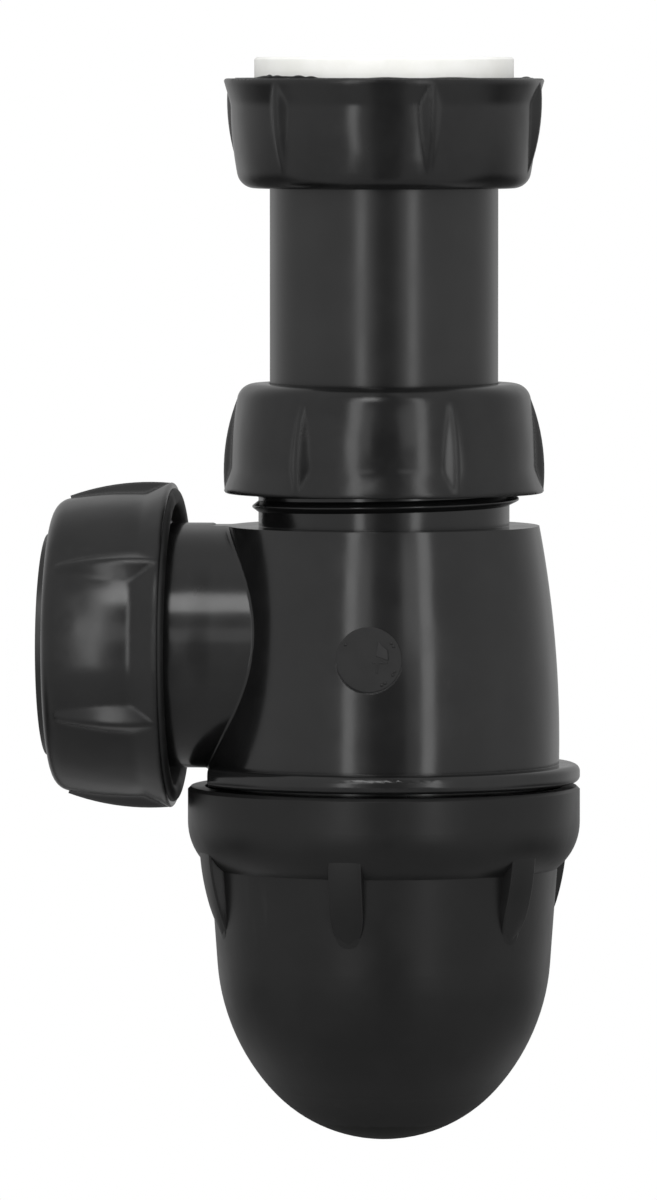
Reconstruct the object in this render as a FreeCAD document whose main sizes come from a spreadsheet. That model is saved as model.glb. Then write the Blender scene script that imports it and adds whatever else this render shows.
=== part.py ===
"""Bottle trap for a wash basin: telescopic inlet, screwed outlet and screwed cleaning cup.

Lengths are millimetres and angles are degrees.  Up is +Z and the origin is the middle of the
upper face of the inlet washer.  The outlet leaves along -X and the mould mark faces -Y.
"""
import FreeCAD
import Part
import Sketcher
import math
import os

SIZES = {
    # Fits shared by several pieces
    "thread_depth": 1.475,
    "thread_play": 0.15,
    "sliding_gap": 0.3,
    "rubber_gap": 0.05,
    # Inlet washer
    "washer_inset": 1.0,
    "washer_lip": 1.2,
    "washer_thickness": 3.6,
    "washer_edge_chamfer": 0.35,
    # Inlet tube
    "tube_diameter": 35.4,
    "tube_wall": 1.6,
    "tube_length": 102.0,
    "tube_flange_width": 1.5,
    "tube_flange_thickness": 2.4,
    # Ribbed nuts on inlet and neck
    "nut_height": 17.0,
    "nut_wall": 1.7,
    "nut_wall_flare": 0.95,
    "nut_wall_bow": 60.0,
    "nut_wall_lean": 10.5,
    "nut_shoulder_round": 2.8,
    "nut_floor": 3.0,
    "nut_rim_width": 2.0,
    "nut_cove_level": 12.4,
    "nut_cove_height": 1.1,
    "nut_cove_step": 0.155,
    "nut_cove_bow": 4.0,
    "nut_rim_round": 0.45,
    "nut_mouth_chamfer": 1.1,
    "nut_skirt_relief": 0.8,
    "nut_skirt_depth": 1.5,
    # Grip ribs of the nuts
    "rib_count": 6.0,
    "rib_crest_width": 0.7,
    "rib_root_width": 6.8,
    "rib_depth": 2.4,
    "rib_sink": 0.05,
    "rib_middle_drop": 0.15,
    "rib_end_drop": 2.05,
    "rib_end_level": 2.2,
    # Turned positions of the nuts and of the cup
    "inlet_nut_turn": 67.4,
    "neck_nut_turn": 58.0,
    "outlet_nut_turn": 56.0,
    "cup_turn": 23.0,
    # Levels below the upper face of the washer
    "inlet_nut_drop": 3.3,
    "neck_nut_drop": 50.5,
    "outlet_axis_drop": 91.3,
    # Compression seal of the neck
    "slip_ring_thickness": 1.5,
    "slip_ring_inset": 0.5,
    "seal_flange_thickness": 3.5,
    "seal_inset": 0.7,
    "seal_taper_length": 2.3,
    "seal_taper_width": 0.7,
    # Trap body
    "neck_wall": 1.475,
    "roof_dip": 0.35,
    "roof_thickness": 2.4,
    "neck_mouth_width": 0.9,
    "neck_mouth_depth": 2.6,
    "passage_width": 5.34,
    "barrel_taper": 3.41,
    "barrel_bow": 180.0,
    "barrel_wall": 2.3,
    "nut_relief_width": 3.02,
    "nut_relief_height": 2.0,
    "bead_width": 3.31,
    "bead_rise": 0.75,
    "bead_thickness": 2.8,
    "bead_round": 1.1,
    "bead_flat_depth": 1.2,
    "spigot_step": 0.99,
    "spigot_length": 7.6,
    "spigot_wall": 2.4,
    "spigot_chamfer": 0.6,
    "dip_wall": 1.5,
    "dip_drop": 55.7,
    # Mould mark on the front of the barrel
    "mark_radius": 5.2,
    "mark_drop": 0.7,
    "mark_depth": 0.85,
    # Outlet stub, its nut and its rubber
    "stub_thread_depth": 1.9,
    "stub_bore_radius": 16.5,
    "stub_length": 16.26,
    "stub_root_round": 0.6,
    "outlet_pipe_bore_radius": 16.2,
    "outlet_collar_radius": 17.2,
    "outlet_collar_proud": 1.2,
    "outlet_nut_length": 18.5,
    "outlet_nut_overhang": 7.9,
    "outlet_nut_rim_width": 2.45,
    "outlet_nut_cove_level": 13.6,
    "outlet_taper_length": 2.0,
    # Cleaning cup and its rubber ring
    "cup_rim_gap": 0.6,
    "cup_collar_wall": 2.65,
    "cup_collar_chamfer": 0.5,
    "cup_collar_straight": 5.5,
    "cup_collar_height": 12.7,
    "cup_collar_bow": 9.1,
    "cup_thread_room": 1.65,
    "cup_wall_step": 0.8,
    "cup_wall_draft": 4.2,
    "cup_wall": 2.3,
    "cup_depth": 55.05,
    "cup_crown_share": 0.873,
    "cup_side_share": 1.221,
    "cup_seat_drop": 9.0,
    "cup_seal_inset": 0.4,
    # Slanting round-edged ribs under the collar of the cup
    "cup_rib_count": 6.0,
    "cup_rib_width": 5.1,
    "cup_rib_crown_width": 2.8,
    "cup_rib_crown_bow": 8.5,
    "cup_rib_crown_rise": 0.12,
    "cup_rib_edge_rise": 1.46,
    "cup_rib_start": 8.0,
    "cup_rib_drop": 23.4,
    "cup_rib_overrun": 1.6,
    "cup_rib_slant": 12.8,
    "cup_rib_depth": 3.6,
}

FULL_TURN = 360.0
UPRIGHT = 90.0
NEAR = 0.01


class Size:
    """A number together with the spreadsheet expression that drives it."""

    def __init__(self, value, text):
        self.value = value
        self.text = text

    def __add__(self, other):
        other = as_size(other)
        return Size(self.value + other.value, "(%s + %s)" % (self.text, other.text))

    def __sub__(self, other):
        other = as_size(other)
        return Size(self.value - other.value, "(%s - %s)" % (self.text, other.text))

    def __mul__(self, other):
        other = as_size(other)
        return Size(self.value * other.value, "(%s * %s)" % (self.text, other.text))

    def __truediv__(self, other):
        other = as_size(other)
        return Size(self.value / other.value, "(%s / %s)" % (self.text, other.text))

    def __neg__(self):
        return Size(-self.value, "(0 - %s)" % self.text)


def as_size(thing):
    """Return a Size as it is and wrap a plain number in one."""
    if isinstance(thing, Size):
        return thing
    return Size(float(thing), repr(float(thing)))


def size(name):
    """Return the named driving dimension."""
    return Size(SIZES[name], "Sizes." + name)


ZERO = as_size(0.0)


def sine(angle):
    """Return the sine of an angle in degrees."""
    return Size(math.sin(math.radians(angle.value)), "sin(%s * 1 deg)" % angle.text)


def cosine(angle):
    """Return the cosine of an angle in degrees."""
    return Size(math.cos(math.radians(angle.value)), "cos(%s * 1 deg)" % angle.text)


def end_upright(rise, step):
    """Return the radius of the arc that ends upright after a given rise and step."""
    return (rise * rise + step * step) / (step * 2)


def fill_sheet(document):
    """Write every driving dimension into the spreadsheet under its own alias."""
    sheet = document.addObject("Spreadsheet::Sheet", "Sizes")
    for row, (name, value) in enumerate(SIZES.items(), start=1):
        sheet.set("A%d" % row, name)
        sheet.set("B%d" % row, repr(value))
        sheet.setAlias("B%d" % row, name)
    document.recompute()


def origin_feature(body, role):
    """Return the origin plane or axis of a body by its role."""
    for feature in body.Origin.OriginFeatures:
        if feature.Role == role:
            return feature
    raise ValueError("no origin feature " + role)


def new_body(document, label):
    """Start one sub-part with the label that also names its file."""
    body = document.addObject("PartDesign::Body", label)
    body.Label = label
    return body


def new_sketch(body, role, name):
    """Open a sketch on one of the body's origin planes."""
    sketch = body.newObject("Sketcher::SketchObject", name)
    sketch.AttachmentSupport = (origin_feature(body, role), [""])
    sketch.MapMode = "FlatFace"
    return sketch


def drive(sketch, constraint, amount, name):
    """Add a dimension to a sketch and bind it to its expression."""
    index = sketch.addConstraint(constraint)
    if "Sizes." in amount.text:
        sketch.renameConstraint(index, name)
        sketch.setExpression("Constraints." + name, amount.text)


class Corner:
    """One corner of an outline and the line or arc that leaves it.

    A bow radius makes the leaving edge an arc; side is +1 where it turns left and -1 where it
    turns right.  A smooth corner is placed by tangency, so its numbers are only a first guess.
    """

    def __init__(self, across, along, bow=None, side=1, smooth=False, slope=None):
        self.across = as_size(across)
        self.along = as_size(along)
        self.bow = bow
        self.side = side
        self.smooth = smooth
        self.slope = slope

    def point(self):
        """Return the corner's place in its sketch."""
        return FreeCAD.Vector(self.across.value, self.along.value, 0)


def fix_point(sketch, edge, spot, corner, name):
    """Bind one end point of a sketch edge to the corner's two sizes."""
    across = Sketcher.Constraint("DistanceX", -1, 1, edge, spot, corner.across.value)
    drive(sketch, across, corner.across, name + "_across")
    along = Sketcher.Constraint("DistanceY", -1, 1, edge, spot, corner.along.value)
    drive(sketch, along, corner.along, name + "_along")


def arc_between(first, second, radius, side):
    """Return the short arc of a given radius between two points."""
    chord = second - first
    half = chord.Length / 2
    rise = math.sqrt(max(radius * radius - half * half, 0.0))
    left = FreeCAD.Vector(-chord.y, chord.x, 0) / chord.Length
    middle = (first + second) / 2 + left * (rise * side)
    begin, end = (first, second) if side > 0 else (second, first)
    begin_angle = math.atan2(begin.y - middle.y, begin.x - middle.x)
    end_angle = math.atan2(end.y - middle.y, end.x - middle.x)
    circle = Part.Circle(middle, FreeCAD.Vector(0, 0, 1), radius)
    return Part.ArcOfCircle(circle, begin_angle, end_angle)


def draw_outline(sketch, corners):
    """Draw a closed outline of lines and arcs through the corners and bind every size of it."""
    count = len(corners)
    starts = []
    ends = []
    for index in range(count):
        corner = corners[index]
        first = corner.point()
        second = corners[(index + 1) % count].point()
        if corner.bow is None:
            sketch.addGeometry(Part.LineSegment(first, second), False)
        else:
            sketch.addGeometry(arc_between(first, second, corner.bow.value, corner.side), False)
        forward = corner.bow is None or corner.side > 0
        starts.append(1 if forward else 2)
        ends.append(2 if forward else 1)
    for index in range(count):
        before = (index - 1) % count
        kind = "Tangent" if corners[index].smooth else "Coincident"
        sketch.addConstraint(Sketcher.Constraint(kind, before, ends[before], index, starts[index]))
    for index in range(count):
        corner = corners[index]
        if not corner.smooth:
            fix_point(sketch, index, starts[index], corner, "corner%d" % index)
        if corner.bow is not None:
            bow = Sketcher.Constraint("Radius", index, corner.bow.value)
            drive(sketch, bow, corner.bow, "bow%d" % index)
        if corner.slope is not None:
            slope = Sketcher.Constraint("Angle", index, math.radians(corner.slope.value))
            degrees = Size(corner.slope.value, corner.slope.text + " * 1 deg")
            drive(sketch, slope, degrees, "slope%d" % index)


def draw_circle(sketch, middle, radius):
    """Draw a circle on the sketch's own upright axis at a given height."""
    centre = FreeCAD.Vector(0, middle.value, 0)
    circle = Part.Circle(centre, FreeCAD.Vector(0, 0, 1), radius.value)
    sketch.addGeometry(circle, False)
    sketch.addConstraint(Sketcher.Constraint("PointOnObject", 0, 3, -2))
    drive(sketch, Sketcher.Constraint("DistanceY", -1, 1, 0, 3, middle.value), middle, "height")
    drive(sketch, Sketcher.Constraint("Radius", 0, radius.value), radius, "radius")


def turn_profile(body, kind, name, corners, centred_edge=None):
    """Revolve an outline about the body's own Z axis, adding or cutting material."""
    sketch = new_sketch(body, "XZ_Plane", name + "Profile")
    draw_outline(sketch, corners)
    if centred_edge is not None:
        sketch.addConstraint(Sketcher.Constraint("PointOnObject", centred_edge, 3, -2))
    feature = body.newObject("PartDesign::" + kind, name)
    feature.Profile = sketch
    feature.ReferenceAxis = (sketch, ["V_Axis"])
    feature.Angle = FULL_TURN
    return feature


def ring_corners(inner, outer, low, high):
    """Return the four corners of a plain ring's section."""
    return [Corner(inner, low), Corner(outer, low), Corner(outer, high), Corner(inner, high)]


def repeat_around(body, name, originals, count):
    """Repeat features evenly round the body's Z axis."""
    pattern = body.newObject("PartDesign::PolarPattern", name)
    pattern.Originals = originals
    pattern.Axis = (origin_feature(body, "Z_Axis"), [""])
    pattern.Angle = FULL_TURN
    pattern.Occurrences = int(count.value)
    pattern.setExpression("Occurrences", count.text)
    body.Tip = pattern
    return pattern


def place(body, across, level, rotation):
    """Put a body at its place along X and Z with a rotation expression."""
    body.setExpression("Placement.Base.x", across.text)
    body.setExpression("Placement.Base.z", level.text)
    body.setExpression("Placement.Rotation", rotation)


def tube_radius():
    """Return the outer radius of the inlet tube."""
    return size("tube_diameter") / 2


def tube_hole():
    """Return the radius of every hole in which the inlet tube slides."""
    return tube_radius() + size("sliding_gap")


def thread_root():
    """Return the root radius of the neck thread."""
    return tube_hole() + size("neck_wall")


def thread_crest():
    """Return the crest radius of the neck thread and of the outlet thread."""
    return thread_root() + size("thread_depth")


def nut_bore():
    """Return the radius of the bore of the three nuts."""
    return thread_crest() + size("thread_play")


def nut_wall_radius():
    """Return the outer radius of the nuts at their closed end."""
    return nut_bore() + size("nut_wall")


def dip_outer():
    """Return the outer radius of the dip tube."""
    return tube_hole() + size("dip_wall")


def barrel_foot():
    """Return the outer radius of the barrel at its lower end."""
    return dip_outer() + size("passage_width") + size("barrel_wall")


def barrel_top():
    """Return the outer radius of the barrel at the top of its blank."""
    return barrel_foot() - size("barrel_taper")


def stub_radius():
    """Return the root radius of the outlet stub."""
    return thread_crest() - size("stub_thread_depth")


def stub_reach():
    """Return the distance from the trap axis to the end of the outlet stub."""
    return barrel_foot() + size("stub_length")


def outlet_nut_reach():
    """Return the distance from the trap axis to the outer end of the outlet nut."""
    return stub_reach() + size("outlet_nut_overhang")


def roof_height():
    """Return the height of the roof above the outlet axis."""
    return stub_radius() - size("roof_dip")


def bead_drop():
    """Return the drop of the upper face of the bead below the outlet axis."""
    return stub_radius() - size("bead_rise")


def spigot_radius():
    """Return the root radius of the spigot under the bead."""
    return barrel_foot() - size("spigot_step")


def cup_bore():
    """Return the radius of the bore of the collar of the cup."""
    return spigot_radius() + size("cup_thread_room")


def cup_wall_radius():
    """Return the outer radius of the bowl of the cup under its collar."""
    return spigot_radius() + size("cup_wall_step")


def cup_rim_drop():
    """Return the drop of the rim of the cup below the washer face."""
    bead_bottom = size("outlet_axis_drop") + bead_drop() + size("bead_thickness")
    return bead_bottom + size("cup_rim_gap")


def build_inlet_washer(document):
    """Flat washer whose upper face is the sealing face."""
    body = new_body(document, "inlet_washer")
    inner = tube_radius() - size("washer_lip")
    outer = nut_bore() - size("washer_inset")
    edge = size("washer_edge_chamfer")
    thick = size("washer_thickness")
    corners = [
        Corner(inner, ZERO),
        Corner(outer, ZERO),
        Corner(outer, thick - edge),
        Corner(outer - edge, thick),
        Corner(inner, thick),
    ]
    turn_profile(body, "Revolution", "Ring", corners)
    place(body, ZERO, -thick, "rotationz(0)")
    return body


def build_inlet_tube(document):
    """Telescopic tube with a flange that holds the inlet nut captive."""
    body = new_body(document, "inlet_tube")
    outer = tube_radius()
    inner = outer - size("tube_wall")
    top = size("tube_length")
    flange = outer + size("tube_flange_width")
    under = top - size("tube_flange_thickness")
    corners = [
        Corner(inner, ZERO),
        Corner(outer, ZERO),
        Corner(outer, under),
        Corner(flange, under),
        Corner(flange, top),
        Corner(inner, top),
    ]
    turn_profile(body, "Revolution", "Tube", corners)
    place(body, ZERO, -(size("washer_thickness") + top), "rotationz(0)")
    return body


def add_grip_ribs(body, rim, rim_level):
    """Sweep one tapering grip rib along its bowed crest and repeat it round the nut."""
    crest_low = rim - size("rib_sink")
    path = new_sketch(body, "XZ_Plane", "RibCrest")
    low = Corner(crest_low, rim_level)
    middle = Corner(crest_low - size("rib_middle_drop"), (rim_level + size("rib_end_level")) / 2)
    end = Corner(crest_low - size("rib_end_drop"), size("rib_end_level"))
    points = [corner.point() for corner in (low, middle, end)]
    path.addGeometry(Part.Arc(points[0], points[1], points[2]), False)
    begins_low = path.getPoint(0, 1).distanceToPoint(points[0]) < NEAR
    first, last = (1, 2) if begins_low else (2, 1)
    fix_point(path, 0, first, low, "low")
    fix_point(path, 0, last, end, "end")
    path.addGeometry(Part.Point(points[1]), True)
    path.addConstraint(Sketcher.Constraint("PointOnObject", 1, 1, 0))
    fix_point(path, 1, 1, middle, "middle")
    section = new_sketch(body, "XY_Plane", "RibSection")
    section.setExpression("AttachmentOffset.Base.z", rim_level.text)
    half_crest = size("rib_crest_width") / 2
    half_root = size("rib_root_width") / 2
    root = crest_low - size("rib_depth")
    draw_outline(section, [
        Corner(root, -half_root),
        Corner(crest_low, -half_crest),
        Corner(crest_low, half_crest),
        Corner(root, half_root),
    ])
    rib = body.newObject("PartDesign::AdditivePipe", "Rib")
    rib.Profile = section
    rib.Spine = (path, ["Edge1"])
    return repeat_around(body, "RibCircle", [rib], size("rib_count"))


def build_nut(document, label, height, rim_width, cove, hole):
    """Ribbed nut with its closed end at z = 0 and its flared skirt at the upper end."""
    body = new_body(document, label)
    wall = nut_wall_radius()
    rim = wall + rim_width
    wall_low = wall + size("nut_wall_flare")
    shoulder = size("nut_shoulder_round")
    shoulder_middle = wall - shoulder
    lean = size("nut_wall_lean")
    shoulder_reach = shoulder_middle + shoulder * cosine(lean)
    edge = size("nut_rim_round")
    rim_level = height - edge
    turn_profile(body, "Revolution", "Shell", [
        Corner(ZERO, ZERO),
        Corner(shoulder_middle, ZERO, shoulder),
        Corner(shoulder_reach, shoulder - shoulder * sine(lean), size("nut_wall_bow")),
        Corner(wall_low, cove, size("nut_cove_bow"), -1),
        Corner(wall_low + size("nut_cove_step"), cove + size("nut_cove_height")),
        Corner(rim, rim_level, edge),
        Corner(rim - edge, height),
        Corner(ZERO, height),
    ])
    add_grip_ribs(body, rim, rim_level)
    bore = nut_bore()
    floor = size("nut_floor")
    skirt = bore + size("nut_skirt_relief")
    mouth = height - size("nut_skirt_depth")
    bevel = size("nut_mouth_chamfer")
    turn_profile(body, "Groove", "Bore", [
        Corner(ZERO, -floor),
        Corner(hole, -floor),
        Corner(hole, floor),
        Corner(bore, floor),
        Corner(bore, mouth - (skirt - bore)),
        Corner(skirt, mouth),
        Corner(skirt, height - bevel),
        Corner(skirt + bevel, height),
        Corner(skirt + bevel, height + floor),
        Corner(ZERO, height + floor),
    ])
    return body


def build_inlet_nut(document):
    """Captive nut under the tube flange, open end up."""
    height = size("nut_height")
    rim_width = size("nut_rim_width")
    body = build_nut(document, "inlet_nut", height, rim_width, size("nut_cove_level"), tube_hole())
    level = -(size("inlet_nut_drop") + height)
    place(body, ZERO, level, "rotationz(-Sizes.inlet_nut_turn)")
    return body


def build_neck_nut(document):
    """Compression nut on the neck, open end down."""
    height = size("nut_height")
    rim_width = size("nut_rim_width")
    body = build_nut(document, "neck_nut", height, rim_width, size("nut_cove_level"), tube_hole())
    place(body, ZERO, -size("neck_nut_drop"), "rotationx(180) * rotationz(Sizes.neck_nut_turn)")
    return body


def build_outlet_nut(document):
    """Compression nut on the outlet, open end towards the barrel."""
    hole = size("outlet_collar_radius") + size("sliding_gap")
    height = size("outlet_nut_length")
    rim_width = size("outlet_nut_rim_width")
    body = build_nut(document, "outlet_nut", height, rim_width, size("outlet_nut_cove_level"), hole)
    turn = "rotationy(90) * rotationz(Sizes.outlet_nut_turn)"
    place(body, -outlet_nut_reach(), -size("outlet_axis_drop"), turn)
    return body


def slip_ring_outer():
    """Return the outer radius of both slip rings, inside the nut bores."""
    return nut_bore() - size("slip_ring_inset")


def neck_seal_top():
    """Return the drop of the upper face of the neck seal below the washer face."""
    return size("neck_nut_drop") + size("nut_floor") + size("slip_ring_thickness")


def build_neck_slip_ring(document):
    """Thin hard ring between the floor of the neck nut and the rubber."""
    body = new_body(document, "neck_slip_ring")
    thick = size("slip_ring_thickness")
    turn_profile(body, "Revolution", "Ring", ring_corners(tube_hole(), slip_ring_outer(), ZERO, thick))
    place(body, ZERO, -neck_seal_top(), "rotationz(0)")
    return body


def build_neck_seal(document):
    """Rubber ring with a flange on the neck edge and a taper inside the neck mouth."""
    body = new_body(document, "neck_seal")
    inner = tube_radius() + size("rubber_gap")
    outer = slip_ring_outer() - size("seal_inset")
    flange = size("seal_flange_thickness")
    taper = size("seal_taper_length")
    wide = tube_hole() + size("neck_mouth_width") - size("sliding_gap")
    turn_profile(body, "Revolution", "Ring", [
        Corner(inner, -(flange + taper)),
        Corner(wide - size("seal_taper_width"), -(flange + taper)),
        Corner(wide, -flange),
        Corner(outer, -flange),
        Corner(outer, ZERO),
        Corner(inner, ZERO),
    ])
    place(body, ZERO, -neck_seal_top(), "rotationz(0)")
    return body


def neck_top_height():
    """Return the height of the neck edge above the outlet axis."""
    return size("outlet_axis_drop") - neck_seal_top() - size("seal_flange_thickness")


def build_trap_body(document):
    """One moulding: neck, roof, barrel, outlet stub, bead, spigot and dip tube.

    The outlet stub is drawn along +X, and the finished moulding is turned half a turn.
    """
    body = new_body(document, "trap_body")
    neck = thread_root()
    neck_bore = tube_hole()
    neck_top = neck_top_height()
    roof = roof_height()
    blank_top = roof + size("nut_relief_height")
    barrel = barrel_foot()
    bead_top = -bead_drop()
    bead_low = bead_top - size("bead_thickness")
    spigot = spigot_radius()
    spigot_low = bead_low - size("spigot_length")
    chamfer = size("spigot_chamfer")
    turn_profile(body, "Revolution", "Shell", [
        Corner(ZERO, spigot_low),
        Corner(spigot - chamfer, spigot_low),
        Corner(spigot, spigot_low + chamfer),
        Corner(spigot, bead_low),
        Corner(barrel, bead_low, size("barrel_bow")),
        Corner(barrel_top(), blank_top),
        Corner(neck, blank_top),
        Corner(neck, neck_top),
        Corner(ZERO, neck_top),
    ])
    add_outlet_stub(body)
    relief = barrel_top() + size("nut_relief_width")
    turn_profile(body, "Groove", "NutRelief", ring_corners(neck, relief, roof, blank_top + chamfer))
    add_bead(body, barrel, bead_top, bead_low)
    bore_outlet_stub(body)
    hollow_body(body, roof, barrel, bead_low, spigot, spigot_low)
    overlap = size("roof_thickness") / 2
    ceiling = roof - size("roof_thickness")
    dip_low = -size("dip_drop")
    dip_ring = ring_corners(neck_bore, dip_outer(), dip_low, ceiling + overlap)
    turn_profile(body, "Revolution", "DipTube", dip_ring)
    mouth = size("neck_mouth_width")
    turn_profile(body, "Groove", "NeckBore", [
        Corner(ZERO, dip_low - mouth),
        Corner(neck_bore, dip_low - mouth),
        Corner(neck_bore, neck_top - size("neck_mouth_depth")),
        Corner(neck_bore + mouth, neck_top),
        Corner(neck_bore + mouth, neck_top + mouth),
        Corner(ZERO, neck_top + mouth),
    ])
    cut_mould_mark(body, barrel)
    place(body, ZERO, -size("outlet_axis_drop"), "rotationz(180)")
    return body


def add_bead(body, barrel, bead_top, bead_low):
    """Add the bead above the cup, flat on the outlet side so that the outlet nut can turn."""
    radius = barrel + size("bead_width")
    flat = barrel - size("bead_flat_depth")
    half = math.sqrt(radius.value ** 2 - flat.value ** 2)
    sketch = new_sketch(body, "XY_Plane", "BeadOutline")
    sketch.setExpression("AttachmentOffset.Base.z", bead_low.text)
    middle = FreeCAD.Vector(0, 0, 0)
    circle = Part.Circle(middle, FreeCAD.Vector(0, 0, 1), radius.value)
    low_end = FreeCAD.Vector(flat.value, -half, 0)
    high_end = FreeCAD.Vector(flat.value, half, 0)
    begin = math.atan2(high_end.y, high_end.x)
    finish = math.atan2(low_end.y, low_end.x)
    sketch.addGeometry(Part.ArcOfCircle(circle, begin, finish), False)
    sketch.addGeometry(Part.LineSegment(high_end, low_end), False)
    sketch.addConstraint(Sketcher.Constraint("Coincident", 0, 3, -1, 1))
    sketch.addConstraint(Sketcher.Constraint("Coincident", 0, 1, 1, 1))
    sketch.addConstraint(Sketcher.Constraint("Coincident", 0, 2, 1, 2))
    sketch.addConstraint(Sketcher.Constraint("Vertical", 1))
    drive(sketch, Sketcher.Constraint("Radius", 0, radius.value), radius, "radius")
    drive(sketch, Sketcher.Constraint("DistanceX", -1, 1, 1, 1, flat.value), flat, "flat")
    bead = body.newObject("PartDesign::Pad", "Bead")
    bead.Profile = sketch
    bead.setExpression("Length", (bead_top - bead_low).text)
    body.Document.recompute()
    names = []
    for index, edge in enumerate(bead.Shape.Edges, start=1):
        if isinstance(edge.Curve, Part.Circle) and abs(edge.Curve.Radius - radius.value) < NEAR:
            names.append("Edge%d" % index)
    fillet = body.newObject("PartDesign::Fillet", "BeadRound")
    fillet.Base = (bead, names)
    fillet.setExpression("Radius", size("bead_round").text)


def add_outlet_stub(body):
    """Add the outlet stub to the barrel and round the inner corner between them."""
    outline = new_sketch(body, "YZ_Plane", "StubOutline")
    draw_circle(outline, ZERO, stub_radius())
    stub = body.newObject("PartDesign::Pad", "Stub")
    stub.Profile = outline
    stub.setExpression("Length", stub_reach().text)
    body.Document.recompute()
    radius = stub_radius().value
    end_face = stub_reach().value
    names = []
    for index, edge in enumerate(stub.Shape.Edges, start=1):
        beside = edge.BoundBox.XMin > 0 and edge.BoundBox.XMax < end_face - NEAR
        on_stub = all(abs(math.hypot(vertex.Y, vertex.Z) - radius) < NEAR for vertex in edge.Vertexes)
        if beside and on_stub:
            names.append("Edge%d" % index)
    fillet = body.newObject("PartDesign::Fillet", "StubRoot")
    fillet.Base = (stub, names)
    fillet.setExpression("Radius", size("stub_root_round").text)


def bore_outlet_stub(body):
    """Bore the outlet stub through to the hollow of the barrel."""
    bore = new_sketch(body, "YZ_Plane", "StubBoreOutline")
    draw_circle(bore, ZERO, size("stub_bore_radius"))
    pocket = body.newObject("PartDesign::Pocket", "StubBore")
    pocket.Profile = bore
    pocket.Reversed = True
    pocket.setExpression("Length", (stub_reach() + size("sliding_gap")).text)


def hollow_body(body, roof, barrel, bead_low, spigot, spigot_low):
    """Hollow the moulding from below, leaving the roof."""
    wall = size("barrel_wall")
    ceiling = roof - size("roof_thickness")
    throat = spigot - size("spigot_wall")
    open_end = spigot_low - wall
    turn_profile(body, "Groove", "Hollow", [
        Corner(ZERO, open_end),
        Corner(throat, open_end),
        Corner(throat, bead_low),
        Corner(barrel - wall, -bead_drop(), size("barrel_bow") - wall),
        Corner(barrel_top() - wall, ceiling),
        Corner(ZERO, ceiling),
    ])


def cut_mould_mark(body, barrel):
    """Sink the flat round mould mark into the front of the barrel."""
    sketch = new_sketch(body, "XZ_Plane", "MarkOutline")
    sketch.setExpression("AttachmentOffset.Base.z", (-barrel).text)
    draw_circle(sketch, -size("mark_drop"), size("mark_radius"))
    pocket = body.newObject("PartDesign::Pocket", "MouldMark")
    pocket.Profile = sketch
    pocket.Reversed = True
    pocket.setExpression("Length", size("mark_depth").text)


def build_outlet_slip_ring(document):
    """Thin hard ring between the floor of the outlet nut and the rubber."""
    body = new_body(document, "outlet_slip_ring")
    inner = size("outlet_collar_radius") + size("sliding_gap")
    thick = size("slip_ring_thickness")
    turn_profile(body, "Revolution", "Ring", ring_corners(inner, slip_ring_outer(), ZERO, thick))
    across = -(outlet_nut_reach() - size("nut_floor"))
    place(body, across, -size("outlet_axis_drop"), "rotationy(90)")
    return body


def build_outlet_seal(document):
    """Rubber seal with a pipe collar through the outlet nut and a flange on the stub."""
    body = new_body(document, "outlet_seal")
    inner = size("outlet_pipe_bore_radius")
    collar = size("outlet_collar_radius")
    flange = slip_ring_outer() - size("seal_inset")
    proud = size("outlet_collar_proud")
    outer_face = proud + size("nut_floor") + size("slip_ring_thickness")
    end = size("outlet_nut_overhang") + proud
    taper_end = end + size("outlet_taper_length")
    wide = size("stub_bore_radius") - size("rubber_gap")
    turn_profile(body, "Revolution", "Seal", [
        Corner(inner, ZERO),
        Corner(collar, ZERO),
        Corner(collar, outer_face),
        Corner(flange, outer_face),
        Corner(flange, end),
        Corner(wide, end),
        Corner(wide, taper_end),
        Corner(inner, taper_end),
    ])
    across = -(outlet_nut_reach() + proud)
    place(body, across, -size("outlet_axis_drop"), "rotationy(90)")
    return body


def cup_seat_level():
    """Return the level of the seat inside the cup below its rim."""
    return -size("cup_seat_drop")


def cup_seal_thickness():
    """Return the space left between the spigot end and the seat of the cup."""
    return size("cup_rim_gap") + size("cup_seat_drop") - size("spigot_length")


def build_cup_seal(document):
    """Flat rubber ring between the spigot and the seat of the cup."""
    body = new_body(document, "cup_seal")
    inner = cup_wall_radius() - size("cup_wall")
    outer = cup_bore() - size("cup_seal_inset")
    ring = ring_corners(inner, outer, ZERO, cup_seal_thickness())
    turn_profile(body, "Revolution", "Ring", ring)
    place(body, ZERO, -(cup_rim_drop() + size("cup_seat_drop")), "rotationz(0)")
    return body


def bowl_corners(radius, top, bottom, crown, side, draft):
    """Return the wall, side arc and crown arc of a bowl, joined smoothly.

    The wall starts at the given radius and level, leans in by the draft, runs into the side arc
    and ends in a crown arc whose centre is on the axis.
    """
    lean = math.radians(draft.value)
    reach = side.value - crown.value
    crown_level = bottom.value + crown.value
    inset = side.value - radius.value * math.cos(lean) - (crown_level - top.value) * math.sin(lean)
    swing = lean + math.acos(max(-1.0, min(1.0, inset / reach)))
    centre_across = -reach * math.cos(swing)
    centre_along = crown_level + reach * math.sin(swing)
    wall_end = (centre_across + side.value * math.cos(lean), centre_along - side.value * math.sin(lean))
    crown_start = (crown.value * math.cos(swing), crown_level - crown.value * math.sin(swing))
    slope = -(draft + UPRIGHT)
    return [
        Corner(radius, top, slope=slope),
        Corner(wall_end[0], wall_end[1], side, -1, smooth=True),
        Corner(crown_start[0], crown_start[1], crown, -1, smooth=True),
        Corner(ZERO, bottom),
    ]


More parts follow.
